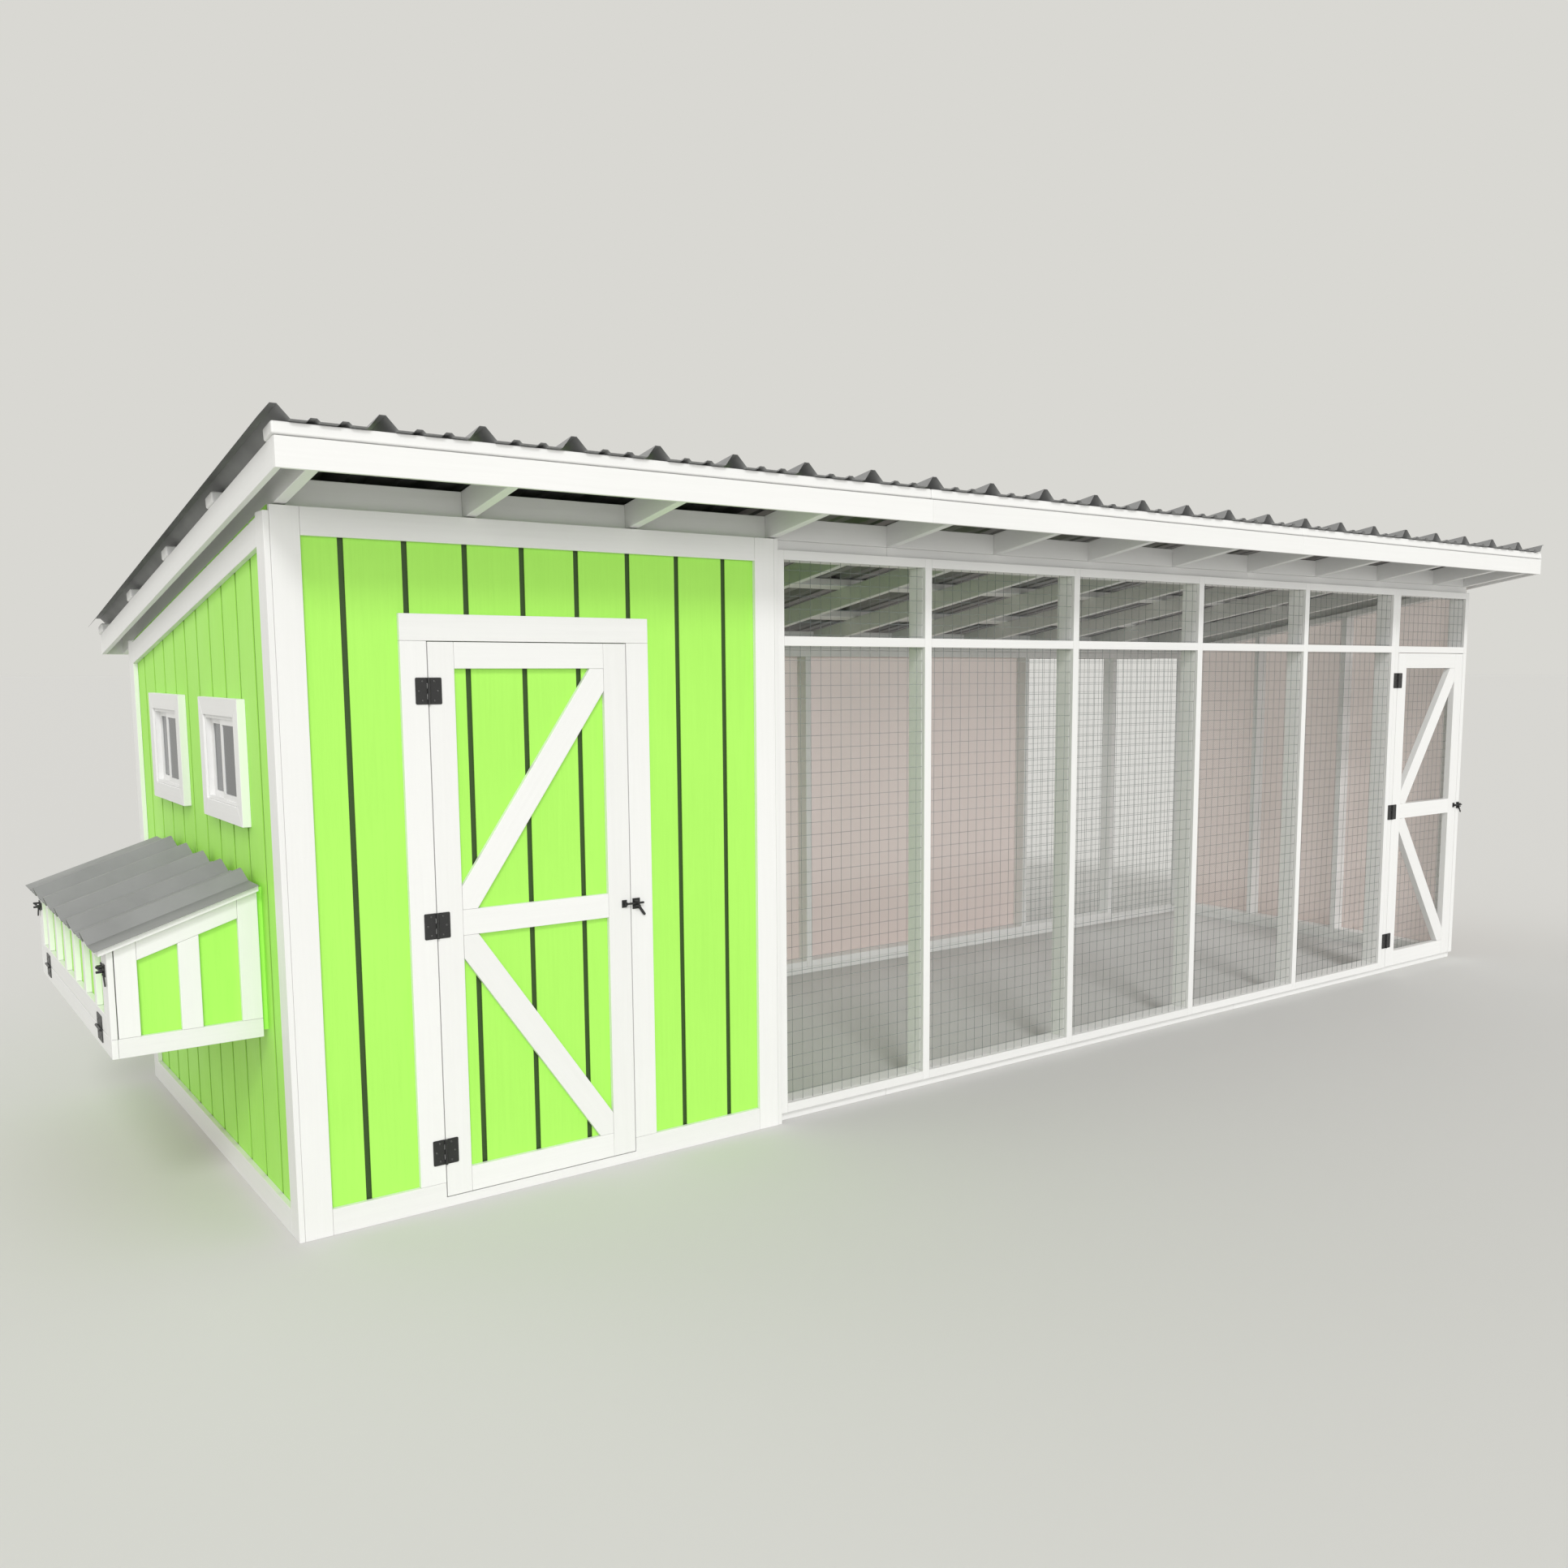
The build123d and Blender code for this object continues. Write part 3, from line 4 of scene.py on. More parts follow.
import bmesh
import bpy
import numpy as np
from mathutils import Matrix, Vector


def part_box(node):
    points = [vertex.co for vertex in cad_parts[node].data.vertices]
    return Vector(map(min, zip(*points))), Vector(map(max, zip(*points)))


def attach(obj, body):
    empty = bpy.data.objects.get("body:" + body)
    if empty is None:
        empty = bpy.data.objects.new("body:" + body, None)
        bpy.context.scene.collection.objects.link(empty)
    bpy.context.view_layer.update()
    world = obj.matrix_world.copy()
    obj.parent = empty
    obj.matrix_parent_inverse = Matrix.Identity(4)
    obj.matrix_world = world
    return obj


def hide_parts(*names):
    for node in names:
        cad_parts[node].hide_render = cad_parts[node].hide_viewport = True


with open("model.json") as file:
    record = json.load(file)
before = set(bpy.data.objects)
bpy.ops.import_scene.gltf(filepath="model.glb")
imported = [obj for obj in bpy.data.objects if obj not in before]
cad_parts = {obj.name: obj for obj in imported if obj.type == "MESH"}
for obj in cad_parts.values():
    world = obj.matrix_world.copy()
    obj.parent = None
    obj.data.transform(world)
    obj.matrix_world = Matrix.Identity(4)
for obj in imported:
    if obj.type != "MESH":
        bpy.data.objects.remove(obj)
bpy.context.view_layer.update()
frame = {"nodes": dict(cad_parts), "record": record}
inch = 0.0254
bodyOf = {}
for bodyName, members in frame["record"]["behaviour"]["bodies"].items():
    for member in members:
        bodyOf[member] = bodyName
slotOf = {entry["node"]: entry["material_slot"] for entry in frame["record"]["subparts"]}
cornerLow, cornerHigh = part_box("corner_boards")


# Node tree helpers: a material is started with its shader, and filled by its own function

def startMaterial(name, roughness, metallic=0.0):
    material = bpy.data.materials.new(name)
    material.use_nodes = True
    shader = material.node_tree.nodes["Principled BSDF"]
    shader.inputs["Roughness"].default_value = roughness
    shader.inputs["Metallic"].default_value = metallic
    return material, shader


def addNode(material, kind, **values):
    node = material.node_tree.nodes.new(kind)
    for key, value in values.items():
        setattr(node, key, value)
    return node


def plug(material, source, target):
    material.node_tree.links.new(source, target)


def objectPoint(material):
    return addNode(material, "ShaderNodeTexCoord").outputs["Object"]


def boardPoint(material):
    return addNode(material, "ShaderNodeAttribute", attribute_name="boardPoint").outputs["Vector"]


def scaled(material, vector, scale):
    mapping = addNode(material, "ShaderNodeMapping")
    mapping.inputs["Scale"].default_value = scale
    plug(material, vector, mapping.inputs["Vector"])
    return mapping.outputs["Vector"]


def noise(material, vector, scale, detail=4.0, roughness=0.55, distortion=0.0):
    texture = addNode(material, "ShaderNodeTexNoise")
    texture.inputs["Scale"].default_value = scale
    texture.inputs["Detail"].default_value = detail
    texture.inputs["Roughness"].default_value = roughness
    texture.inputs["Distortion"].default_value = distortion
    plug(material, vector, texture.inputs["Vector"])
    return texture.outputs["Fac"]


def arithmetic(material, operation, first, second=0.0, clamp=False):
    node = addNode(material, "ShaderNodeMath", operation=operation, use_clamp=clamp)
    for socket, value in zip(node.inputs, (first, second)):
        if isinstance(value, (int, float)):
            socket.default_value = value
        else:
            plug(material, value, socket)
    return node.outputs[0]


def spread(material, value, low, high, newLow, newHigh):
    node = addNode(material, "ShaderNodeMapRange")
    for key, number in (("From Min", low), ("From Max", high), ("To Min", newLow), ("To Max", newHigh)):
        node.inputs[key].default_value = number
    plug(material, value, node.inputs["Value"])
    return node.outputs["Result"]


def blendColours(material, factor, first, second):
    node = addNode(material, "ShaderNodeMix", data_type="RGBA")
    plug(material, factor, node.inputs["Factor"])
    for socket, value in zip((node.inputs[6], node.inputs[7]), (first, second)):
        if isinstance(value, tuple):
            socket.default_value = (*value, 1.0)
        else:
            plug(material, value, socket)
    return node.outputs[2]


def addBump(material, shader, height, strength, distance):
    bump = addNode(material, "ShaderNodeBump")
    bump.inputs["Strength"].default_value = strength
    bump.inputs["Distance"].default_value = distance
    plug(material, height, bump.inputs["Height"])
    plug(material, bump.outputs["Normal"], shader.inputs["Normal"])


# Painted and bare boards: grain runs along each board, and each board has its own tone

boardGrain = {"grainScale": (2.2, 75.0, 75.0), "poreScale": (12.0, 420.0, 420.0), "cloudScale": 2.3,
              "toneShare": 0.30, "cloudShare": 0.35, "poreShare": 0.35, "bump": 0.5,
              "glossier": 0.07, "duller": 0.08}
cloudLow, cloudHigh = 0.3, 0.7


def boardMaterial(name, light, dark, grainDepth, roughness, variation):
    look = boardGrain
    material, shader = startMaterial(name, roughness)
    point = boardPoint(material)
    grain = noise(material, scaled(material, point, look["grainScale"]), 1.0, 6.0, 0.6, 0.6)
    pores = noise(material, scaled(material, point, look["poreScale"]), 1.0, 3.0, 0.6)
    clouds = noise(material, point, look["cloudScale"], 3.0)
    tone = addNode(material, "ShaderNodeAttribute", attribute_name="boardTone").outputs["Fac"]
    mixed = arithmetic(material, "MULTIPLY", grain, variation)
    mixed = arithmetic(material, "ADD", mixed, arithmetic(material, "MULTIPLY", tone, look["toneShare"]))
    mixed = arithmetic(material, "ADD", mixed,
                       arithmetic(material, "MULTIPLY", clouds, look["cloudShare"]), clamp=True)
    plug(material, blendColours(material, mixed, light, dark), shader.inputs["Base Color"])
    gloss = (roughness - look["glossier"], roughness + look["duller"])
    plug(material, spread(material, clouds, cloudLow, cloudHigh, *gloss), shader.inputs["Roughness"])
    height = arithmetic(material, "ADD", grain, arithmetic(material, "MULTIPLY", pores, look["poreShare"]))
    addBump(material, shader, height, look["bump"], grainDepth)
    return material


# Painted siding: sawn vertical grain, and painted shade darkening the bottom of each groove

# the groove colour is painted shade, laid into the bottom of each groove
sidingLook = {"light": (0.455, 0.93, 0.135), "dark": (0.36, 0.79, 0.095), "groove": (0.03, 0.07, 0.01),
              "flat": 0.0015, "depth": 0.0058, "pastStart": 0.0015, "pastEnd": 0.0025,
              "grainScale": (95.0, 95.0, 3.2), "sawnScale": (160.0, 160.0, 26.0), "cloudScale": 1.7,
              "grainShare": 0.55, "cloudShare": 0.5, "sawnShare": 0.5, "gloss": (0.46, 0.62),
              "bump": 0.5, "bumpDepth": 0.0007}


def sidingMaterial(name, axis, face, inward, grooves=True):
    look = sidingLook
    material, shader = startMaterial(name, 0.55)
    point = objectPoint(material)
    grain = noise(material, scaled(material, point, look["grainScale"]), 1.0, 6.0, 0.62, 0.5)
    sawn = noise(material, scaled(material, point, look["sawnScale"]), 1.0, 3.0, 0.6)
    clouds = noise(material, point, look["cloudScale"], 3.0)
    mixed = arithmetic(material, "MULTIPLY", grain, look["grainShare"])
    mixed = arithmetic(material, "ADD", mixed,
                       arithmetic(material, "MULTIPLY", clouds, look["cloudShare"]), clamp=True)
    colour = blendColours(material, mixed, look["light"], look["dark"])
    # painted shade: each groove is darkened towards its bottom, where shade would fall
    if grooves:
        parts = addNode(material, "ShaderNodeSeparateXYZ")
        plug(material, point, parts.inputs[0])
        behind = arithmetic(material, "SUBTRACT", parts.outputs[axis], face)
        depth = arithmetic(material, "MULTIPLY", behind, inward)
        grooveShadeMask = spread(material, depth, look["flat"], look["depth"], 0.0, 1.0)
        past = spread(material, depth, look["depth"] + look["pastStart"],
                      look["depth"] + look["pastEnd"], 1.0, 0.0)
        shade = arithmetic(material, "MULTIPLY", grooveShadeMask, past)
        colour = blendColours(material, shade, colour, look["groove"])
    plug(material, colour, shader.inputs["Base Color"])
    plug(material, spread(material, clouds, cloudLow, cloudHigh, *look["gloss"]),
         shader.inputs["Roughness"])
    height = arithmetic(material, "ADD", grain, arithmetic(material, "MULTIPLY", sawn, look["sawnShare"]))
    addBump(material, shader, height, look["bump"], look["bumpDepth"])
    return material


# Coated steel: faint mottling in colour and gloss, and a low orange-peel bump

steelLook = {"mottleScale": 6.0, "glossier": 0.09, "duller": 0.1, "bump": 0.35}


def coatedSteel(name, light, dark, roughness, metallic, bumpScale, bumpDepth):
    material, shader = startMaterial(name, roughness, metallic)
    point = objectPoint(material)
    mottle = noise(material, point, steelLook["mottleScale"], 5.0)
    fine = noise(material, point, bumpScale, 2.0)
    plug(material, blendColours(material, mottle, light, dark), shader.inputs["Base Color"])
    gloss = (roughness - steelLook["glossier"], roughness + steelLook["duller"])
    plug(material, spread(material, mottle, cloudLow, cloudHigh, *gloss), shader.inputs["Roughness"])
    addBump(material, shader, fine, steelLook["bump"], bumpDepth)
    return material


# Fine screen: half see-through pale cloth with rows of small reddish dots, every other row
# shifted by half a step

screenLook = {"step": 0.65 * inch, "row": 0.32 * inch, "dot": 0.075 * inch, "cloth": (0.95, 0.82, 0.785),
              "clothDark": (0.87, 0.77, 0.74), "dotColour": (0.42, 0.17, 0.15), "alpha": 0.5,
              "dotCore": 0.7, "weaveScale": (300.0, 300.0, 300.0), "bump": 0.4, "bumpDepth": 0.0004}


def screenMaterial(name):
    look = screenLook
    material, shader = startMaterial(name, 0.7)
    point = objectPoint(material)
    parts = addNode(material, "ShaderNodeSeparateXYZ")
    plug(material, point, parts.inputs[0])
    across = arithmetic(material, "ADD", parts.outputs[0], parts.outputs[1])
    rowNumber = arithmetic(material, "FLOOR", arithmetic(material, "DIVIDE", parts.outputs[2], look["row"]))
    shift = arithmetic(material, "MULTIPLY", arithmetic(material, "PINGPONG", rowNumber, 1.0), 0.5)
    along = arithmetic(material, "ADD", arithmetic(material, "DIVIDE", across, look["step"]), shift)
    u = arithmetic(material, "SUBTRACT", arithmetic(material, "FRACT", along), 0.5)
    v = arithmetic(material, "SUBTRACT", arithmetic(
        material, "FRACT", arithmetic(material, "DIVIDE", parts.outputs[2], look["row"])), 0.5)
    u = arithmetic(material, "MULTIPLY", u, look["step"])
    v = arithmetic(material, "MULTIPLY", v, look["row"])
    uSquared = arithmetic(material, "POWER", arithmetic(material, "ABSOLUTE", u), 2.0)
    vSquared = arithmetic(material, "POWER", arithmetic(material, "ABSOLUTE", v), 2.0)
    reach = arithmetic(material, "SQRT", arithmetic(material, "ADD", uSquared, vSquared))
    dot = spread(material, reach, look["dot"] * look["dotCore"], look["dot"], 1.0, 0.0)
    weave = noise(material, scaled(material, point, look["weaveScale"]), 1.0, 2.0)
    cloth = blendColours(material, weave, look["cloth"], look["clothDark"])
    plug(material, blendColours(material, dot, cloth, look["dotColour"]), shader.inputs["Base Color"])
    height = arithmetic(material, "SUBTRACT", weave, dot)
    addBump(material, shader, height, look["bump"], look["bumpDepth"])
    shader.inputs["Alpha"].default_value = look["alpha"]
    return material


# Window glass with faint smears, window plastic, and plywood with its grain along one axis

glassLook = {"smearScale": 9.0, "clear": (0.035, 0.04, 0.045), "smeared": (0.06, 0.065, 0.07),
             "gloss": (0.03, 0.12), "ior": 1.5}
vinylLook = {"mottleScale": 14.0, "light": (0.84, 0.84, 0.84), "dark": (0.78, 0.78, 0.77),
             "bumpScale": 900.0, "bump": 0.2, "bumpDepth": 0.0001}
plywoodLook = {"grainScale": (45.0, 3.0, 45.0), "bump": 0.4, "bumpDepth": 0.0004}


def glassMaterial(name):
    look = glassLook
    material, shader = startMaterial(name, 0.05)
    smears = noise(material, objectPoint(material), look["smearScale"], 3.0)
    plug(material, blendColours(material, smears, look["clear"], look["smeared"]),
         shader.inputs["Base Color"])
    plug(material, spread(material, smears, cloudLow, cloudHigh, *look["gloss"]),
         shader.inputs["Roughness"])
    shader.inputs["IOR"].default_value = look["ior"]
    return material


def vinylMaterial(name):
    look = vinylLook
    material, shader = startMaterial(name, 0.35)
    mottle = noise(material, objectPoint(material), look["mottleScale"], 3.0)
    plug(material, blendColours(material, mottle, look["light"], look["dark"]),
         shader.inputs["Base Color"])
    fine = noise(material, objectPoint(material), look["bumpScale"], 2.0)
    addBump(material, shader, fine, look["bump"], look["bumpDepth"])
    return material


def plywoodMaterial(name, light, dark):
    look = plywoodLook
    material, shader = startMaterial(name, 0.65)
    point = objectPoint(material)
    grain = noise(material, scaled(material, point, look["grainScale"]), 1.0, 6.0, 0.6, 1.2)
    plug(material, blendColours(material, grain, light, dark), shader.inputs["Base Color"])
    addBump(material, shader, grain, look["bump"], look["bumpDepth"])
    return material


# Material values

boardFinishes = {
    "whiteBoards": {"light": (0.88, 0.88, 0.875), "dark": (0.76, 0.76, 0.75), "grainDepth": 0.0006,
                    "roughness": 0.42, "variation": 0.45},
    "whiteLumber": {"light": (0.87, 0.87, 0.865), "dark": (0.75, 0.75, 0.74), "grainDepth": 0.0006,
                    "roughness": 0.52, "variation": 0.40},
    "bareWood": {"light": (0.66, 0.47, 0.28), "dark": (0.43, 0.27, 0.13), "grainDepth": 0.0005,
                 "roughness": 0.62, "variation": 0.75},
}
plywoodFinishes = {
    "plywood": {"light": (0.62, 0.44, 0.26), "dark": (0.42, 0.27, 0.14)},
    "paintedPlywood": {"light": (0.86, 0.86, 0.855), "dark": (0.74, 0.74, 0.73)},
}
steelFinishes = {
    "roofSteel": {"light": (0.29, 0.292, 0.295), "dark": (0.22, 0.221, 0.223), "roughness": 0.50,
                  "metallic": 0.20, "bumpScale": 60.0, "bumpDepth": 0.0006},
    "blackSteel": {"light": (0.018, 0.018, 0.018), "dark": (0.030, 0.030, 0.031), "roughness": 0.42,
                   "metallic": 0.1, "bumpScale": 1500.0, "bumpDepth": 0.0001},
    "screwSteel": {"light": (0.10, 0.10, 0.10), "dark": (0.07, 0.07, 0.07), "roughness": 0.30,
                   "metallic": 0.6, "bumpScale": 1500.0, "bumpDepth": 0.00005},
    "wireSteel": {"light": (0.26, 0.29, 0.29), "dark": (0.17, 0.195, 0.195), "roughness": 0.45,
                  "metallic": 0.35, "bumpScale": 400.0, "bumpDepth": 0.0001},
}
whiteBoards, whiteLumber, bareWood = (boardMaterial(name, **look) for name, look in boardFinishes.items())
plywood, paintedPlywood = (plywoodMaterial(name, **look) for name, look in plywoodFinishes.items())
roofSteel, blackSteel, screwSteel, wireSteel = (
    coatedSteel(name, **look) for name, look in steelFinishes.items())
screenCloth = screenMaterial("screenCloth")
darkGlass = glassMaterial("darkGlass")
windowVinyl = vinylMaterial("windowVinyl")
trimDepth = 0.75 * inch  # how far the corner boards stand in front of the siding
frontSheet = sidingMaterial("frontSiding", 1, cornerLow.y + trimDepth, 1.0)
backSheet = sidingMaterial("backSiding", 1, cornerHigh.y - trimDepth, -1.0)
leftSheet = sidingMaterial("leftSiding", 0, cornerLow.x + trimDepth, 1.0)
dividerSheet = sidingMaterial("dividerSiding", 0, cornerHigh.x - trimDepth, -1.0)
plainSheet = sidingMaterial("plainSheet", 0, 0.0, 1.0, grooves=False)
print("materials made")

# CAD nodes that keep their own shape

keptNodes = {
    "front_siding": frontSheet, "coop_door_panel": frontSheet, "back_siding": backSheet,
    "left_siding": leftSheet, "divider_siding": dividerSheet, "nest_side_panels": plainSheet,
    "nest_door_panel": plainSheet, "nest_floor": plywood, "nest_dividers": plywood,
    "nest_lid_board": paintedPlywood, "roof_sheets": roofSteel, "nest_lid_sheet": roofSteel,
    "fine_screens": screenCloth,
}
for nodeName, node in frame["nodes"].items():
    slotName = slotOf[nodeName]
    if slotName == "black_hardware" and "hinge_leaves" not in nodeName:
        keptNodes[nodeName] = blackSteel
    elif slotName == "dark_glass":
        keptNodes[nodeName] = darkGlass
    elif slotName == "window_plastic":
        keptNodes[nodeName] = windowVinyl
for nodeName, material in keptNodes.items():
    mesh = frame["nodes"][nodeName].data
    mesh.materials.clear()
    mesh.materials.append(material)
print("kept nodes painted:", len(keptNodes))


# Arrays of a mesh, its islands, and new pieces made from arrays

meshWork = {"join": 0.00002, "flatAngle": radians(0.6), "bevelProfile": 0.5, "faceWeight": 90}


def pointsOf(mesh):
    points = np.empty(len(mesh.vertices) * 3)
    mesh.vertices.foreach_get("co", points)
    return points.reshape(-1, 3)


def islandsOf(mesh):
    # every point takes the lowest label among its neighbours until nothing changes
    edges = np.empty(len(mesh.edges) * 2, dtype=np.int64)
    mesh.edges.foreach_get("vertices", edges)
    first, second = edges.reshape(-1, 2).T
    labels = np.arange(len(mesh.vertices))
    while True:
        lowest = np.minimum(labels[first], labels[second])
        updated = labels.copy()
        np.minimum.at(updated, first, lowest)
        np.minimum.at(updated, second, lowest)
        if np.array_equal(updated, labels):
            break
        labels = updated
    return [np.flatnonzero(labels == label) for label in np.unique(labels)]


def solidMesh(nodeName):
    # the node's loose triangles, joined and with flat faces made whole
    shape = bmesh.new()
    shape.from_mesh(frame["nodes"][nodeName].data)
    bmesh.ops.remove_doubles(shape, verts=shape.verts, dist=meshWork["join"])
    bmesh.ops.dissolve_limit(shape, angle_limit=meshWork["flatAngle"], verts=shape.verts,
                             edges=shape.edges)
    return shape


def solidBoxes(nodeName):
    shape = solidMesh(nodeName)
    mesh = bpy.data.meshes.new("scratch")
    shape.to_mesh(mesh)
    shape.free()
    points = pointsOf(mesh)
    boxes = [(points[island].min(0), points[island].max(0)) for island in islandsOf(mesh)]
    bpy.data.meshes.remove(mesh)
    return boxes


def bevelEdges(shape, edges, offset, segments):
    bmesh.ops.bevel(shape, geom=edges, offset=offset, segments=segments,
                    profile=meshWork["bevelProfile"], affect="EDGES", clamp_overlap=True)


def sharpEdges(shape, least):
    return [edge for edge in shape.edges
            if len(edge.link_faces) == 2 and edge.calc_face_angle() > least]


def smoothFaces(mesh):
    mesh.polygons.foreach_set("use_smooth", np.ones(len(mesh.polygons), dtype=bool))


def weightNormals(piece):
    piece.modifiers.new("weightedNormals", "WEIGHTED_NORMAL").weight = meshWork["faceWeight"]


def placePiece(mesh, name, material, body):
    mesh.materials.clear()
    mesh.materials.append(material)
    piece = bpy.data.objects.new(name, mesh)
    bpy.context.scene.collection.objects.link(piece)
    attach(piece, body)
    return piece


def pieceFromArrays(name, points, faces, material, body, smooth):
    mesh = bpy.data.meshes.new(name)
    mesh.from_pydata(points.tolist(), [], faces.tolist())
    mesh.polygons.foreach_set("use_smooth", np.full(len(mesh.polygons), smooth))
    mesh.update()
    return placePiece(mesh, name, material, body)


# Boards with eased edges: each board of a node is rounded along its corners, then carries its
# own axes, found from the spread of its points, so that the grain follows it

boardWork = {"minCorner": radians(25), "segments": 2, "grainSpread": 40.0}
randomBoards = np.random.default_rng(7)


def easedBoards(nodeName, ease, material):
    shape = solidMesh(nodeName)
    bevelEdges(shape, sharpEdges(shape, boardWork["minCorner"]), ease, boardWork["segments"])
    bmesh.ops.triangulate(shape, faces=[face for face in shape.faces if len(face.verts) > 4])
    mesh = bpy.data.meshes.new(nodeName + "_eased")
    shape.to_mesh(mesh)
    shape.free()
    points = pointsOf(mesh)
    boardPoints = np.zeros_like(points)
    tones = np.zeros(len(points))
    for island in islandsOf(mesh):
        centred = points[island] - points[island].mean(0)
        axes = np.linalg.eigh(centred.T @ centred)[1][:, ::-1]
        boardPoints[island] = centred @ axes + randomBoards.uniform(0.0, boardWork["grainSpread"], 3)
        tones[island] = randomBoards.uniform()
    pointLayer = mesh.attributes.new("boardPoint", "FLOAT_VECTOR", "POINT")
    pointLayer.data.foreach_set("vector", boardPoints.ravel())
    mesh.attributes.new("boardTone", "FLOAT", "POINT").data.foreach_set("value", tones)
    smoothFaces(mesh)
    piece = placePiece(mesh, nodeName + "_eased", material, bodyOf[nodeName])
    weightNormals(piece)
    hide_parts(nodeName)


boardEase = {"white_boards": 0.0016, "white_lumber": 0.0030, "bare_wood": 0.0030}
roundedEase = {"purlins": 0.0070}
boardLook = {"white_boards": whiteBoards, "white_lumber": whiteLumber, "bare_wood": bareWood}
for nodeName, slotName in slotOf.items():
    if slotName in boardEase:
        easedBoards(nodeName, roundedEase.get(nodeName, boardEase[slotName]), boardLook[slotName])
print("boards eased")


# Hinge leaves: the two outer corners of each leaf are rounded, and its screws get domed heads

hingeWork = {"corner": 0.0045, "cornerSegments": 4, "ease": 0.0003, "sharpAngle": radians(60),
             "square": 0.00005, "thickest": 0.006, "leafLeast": 0.02, "headLeast": 0.004,
             "headRadius": 0.0042, "headRise": 0.0015, "sides": 12, "rings": 4}
hingeNodes = ("fixed_hinge_leaves", "coop_door_hinge_leaves", "run_door_hinge_leaves",
              "nest_door_hinge_leaves")


def outerCorners(shape, island, points):
    # edges through the plate that stand at two extremes of the leaf, on the side away from its barrel
    square = hingeWork["square"]
    low, high = points[island].min(0), points[island].max(0)
    middle = points[island].mean(0)
    members = set(island.tolist())
    chosen = []
    for edge in shape.edges:
        if edge.verts[0].index not in members:
            continue
        first, second = (points[vertex.index] for vertex in edge.verts)
        run = np.abs(second - first)
        through = int(run.argmax())
        if run.sum() - run[through] > square or run[through] > hingeWork["thickest"]:
            continue
        sides = [axis for axis in range(3) if axis != through]
        spot = (first + second) / 2
        atEdge = all(min(spot[axis] - low[axis], high[axis] - spot[axis]) < square for axis in sides)
        wide = max(sides, key=lambda axis: abs(middle[axis] - (low[axis] + high[axis]) / 2))
        farSide = (spot[wide] - middle[wide]) * ((low[wide] + high[wide]) / 2 - middle[wide]) > 0
        if atEdge and farSide:
            chosen.append(edge)
    return chosen


def domeHead(centre, outward):
    # a cap: radius R cos(t), rise H sin(t) for t from 0 to a right angle, turned about the outward line
    work = hingeWork
    outward = np.array(outward)
    sideways = np.array([0.0, 0.0, 1.0])
    forwards = np.cross(outward, sideways)
    lift = np.linspace(0.0, np.pi / 2, work["rings"] + 1)[:-1]
    turn = np.arange(work["sides"]) * 2 * np.pi / work["sides"]
    around = np.cos(turn)[:, None] * sideways + np.sin(turn)[:, None] * forwards
    shell = (work["headRadius"] * np.cos(lift)[:, None, None] * around[None]
             + work["headRise"] * np.sin(lift)[:, None, None] * outward)
    points = np.concatenate((shell.reshape(-1, 3), [outward * work["headRise"], outward * 0.0])) + centre
    sides, count = work["sides"], work["rings"] * work["sides"]
    step = np.arange(sides)
    ahead = (step + 1) % sides
    faces = [(ring * sides + a, ring * sides + b, (ring + 1) * sides + b, (ring + 1) * sides + a)
             for ring in range(work["rings"] - 1) for a, b in zip(step, ahead)]
    faces += [(count - sides + a, count - sides + b, count) for a, b in zip(step, ahead)]
    faces += [(b, a, count + 1) for a, b in zip(step, ahead)]
    return points, faces


def hingeLeaves(nodeName):
    shape = solidMesh(nodeName)
    shape.verts.index_update()
    scratch = bpy.data.meshes.new("scratch")
    shape.to_mesh(scratch)
    points = pointsOf(scratch)
    islands = islandsOf(scratch)
    bpy.data.meshes.remove(scratch)
    leaves, screws = [], []
    for island in islands:
        size = np.ptp(points[island], axis=0)
        if size.max() > hingeWork["leafLeast"]:
            leaves.append((island, points[island].min(0), points[island].max(0)))
        elif np.sort(size)[1] > hingeWork["headLeast"]:
            screws.append((points[island].min(0), points[island].max(0)))
    corners = [edge for island, low, high in leaves for edge in outerCorners(shape, island, points)]
    bevelEdges(shape, corners, hingeWork["corner"], hingeWork["cornerSegments"])
    bevelEdges(shape, sharpEdges(shape, hingeWork["sharpAngle"]), hingeWork["ease"], 1)
    mesh = bpy.data.meshes.new(nodeName + "_eased")
    shape.to_mesh(mesh)
    shape.free()
    smoothFaces(mesh)
    piece = placePiece(mesh, nodeName + "_eased", blackSteel, bodyOf[nodeName])
    weightNormals(piece)
    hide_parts(nodeName)
    allPoints, allFaces, start = [], [], 0
    for low, high in screws:
        thin = int((high - low).argmin())
        outward = np.zeros(3)
        outward[thin] = -1.0
        centre = (low + high) / 2
        centre[thin] = low[thin]
        points, faces = domeHead(centre, outward)
        allPoints.append(points)
        allFaces += [tuple(int(corner) + start for corner in face) for face in faces]
        start += len(points)
    mesh = bpy.data.meshes.new(nodeName + "_screws")
    mesh.from_pydata(np.concatenate(allPoints).tolist(), [], allFaces)
    smoothFaces(mesh)
    placePiece(mesh, nodeName + "_screws", screwSteel, bodyOf[nodeName])
    print(nodeName, len(leaves), "leaves,", len(corners), "corners,", len(screws), "screws")


for nodeName in hingeNodes:
    hingeLeaves(nodeName)


# Welded wire: straight rods on a square pitch, upright ones in front of level ones

wireWork = {"pitch": 2.0 * inch, "radius": 0.0009, "sides": 6, "sink": 0.0003, "nearUpright": 0.9}


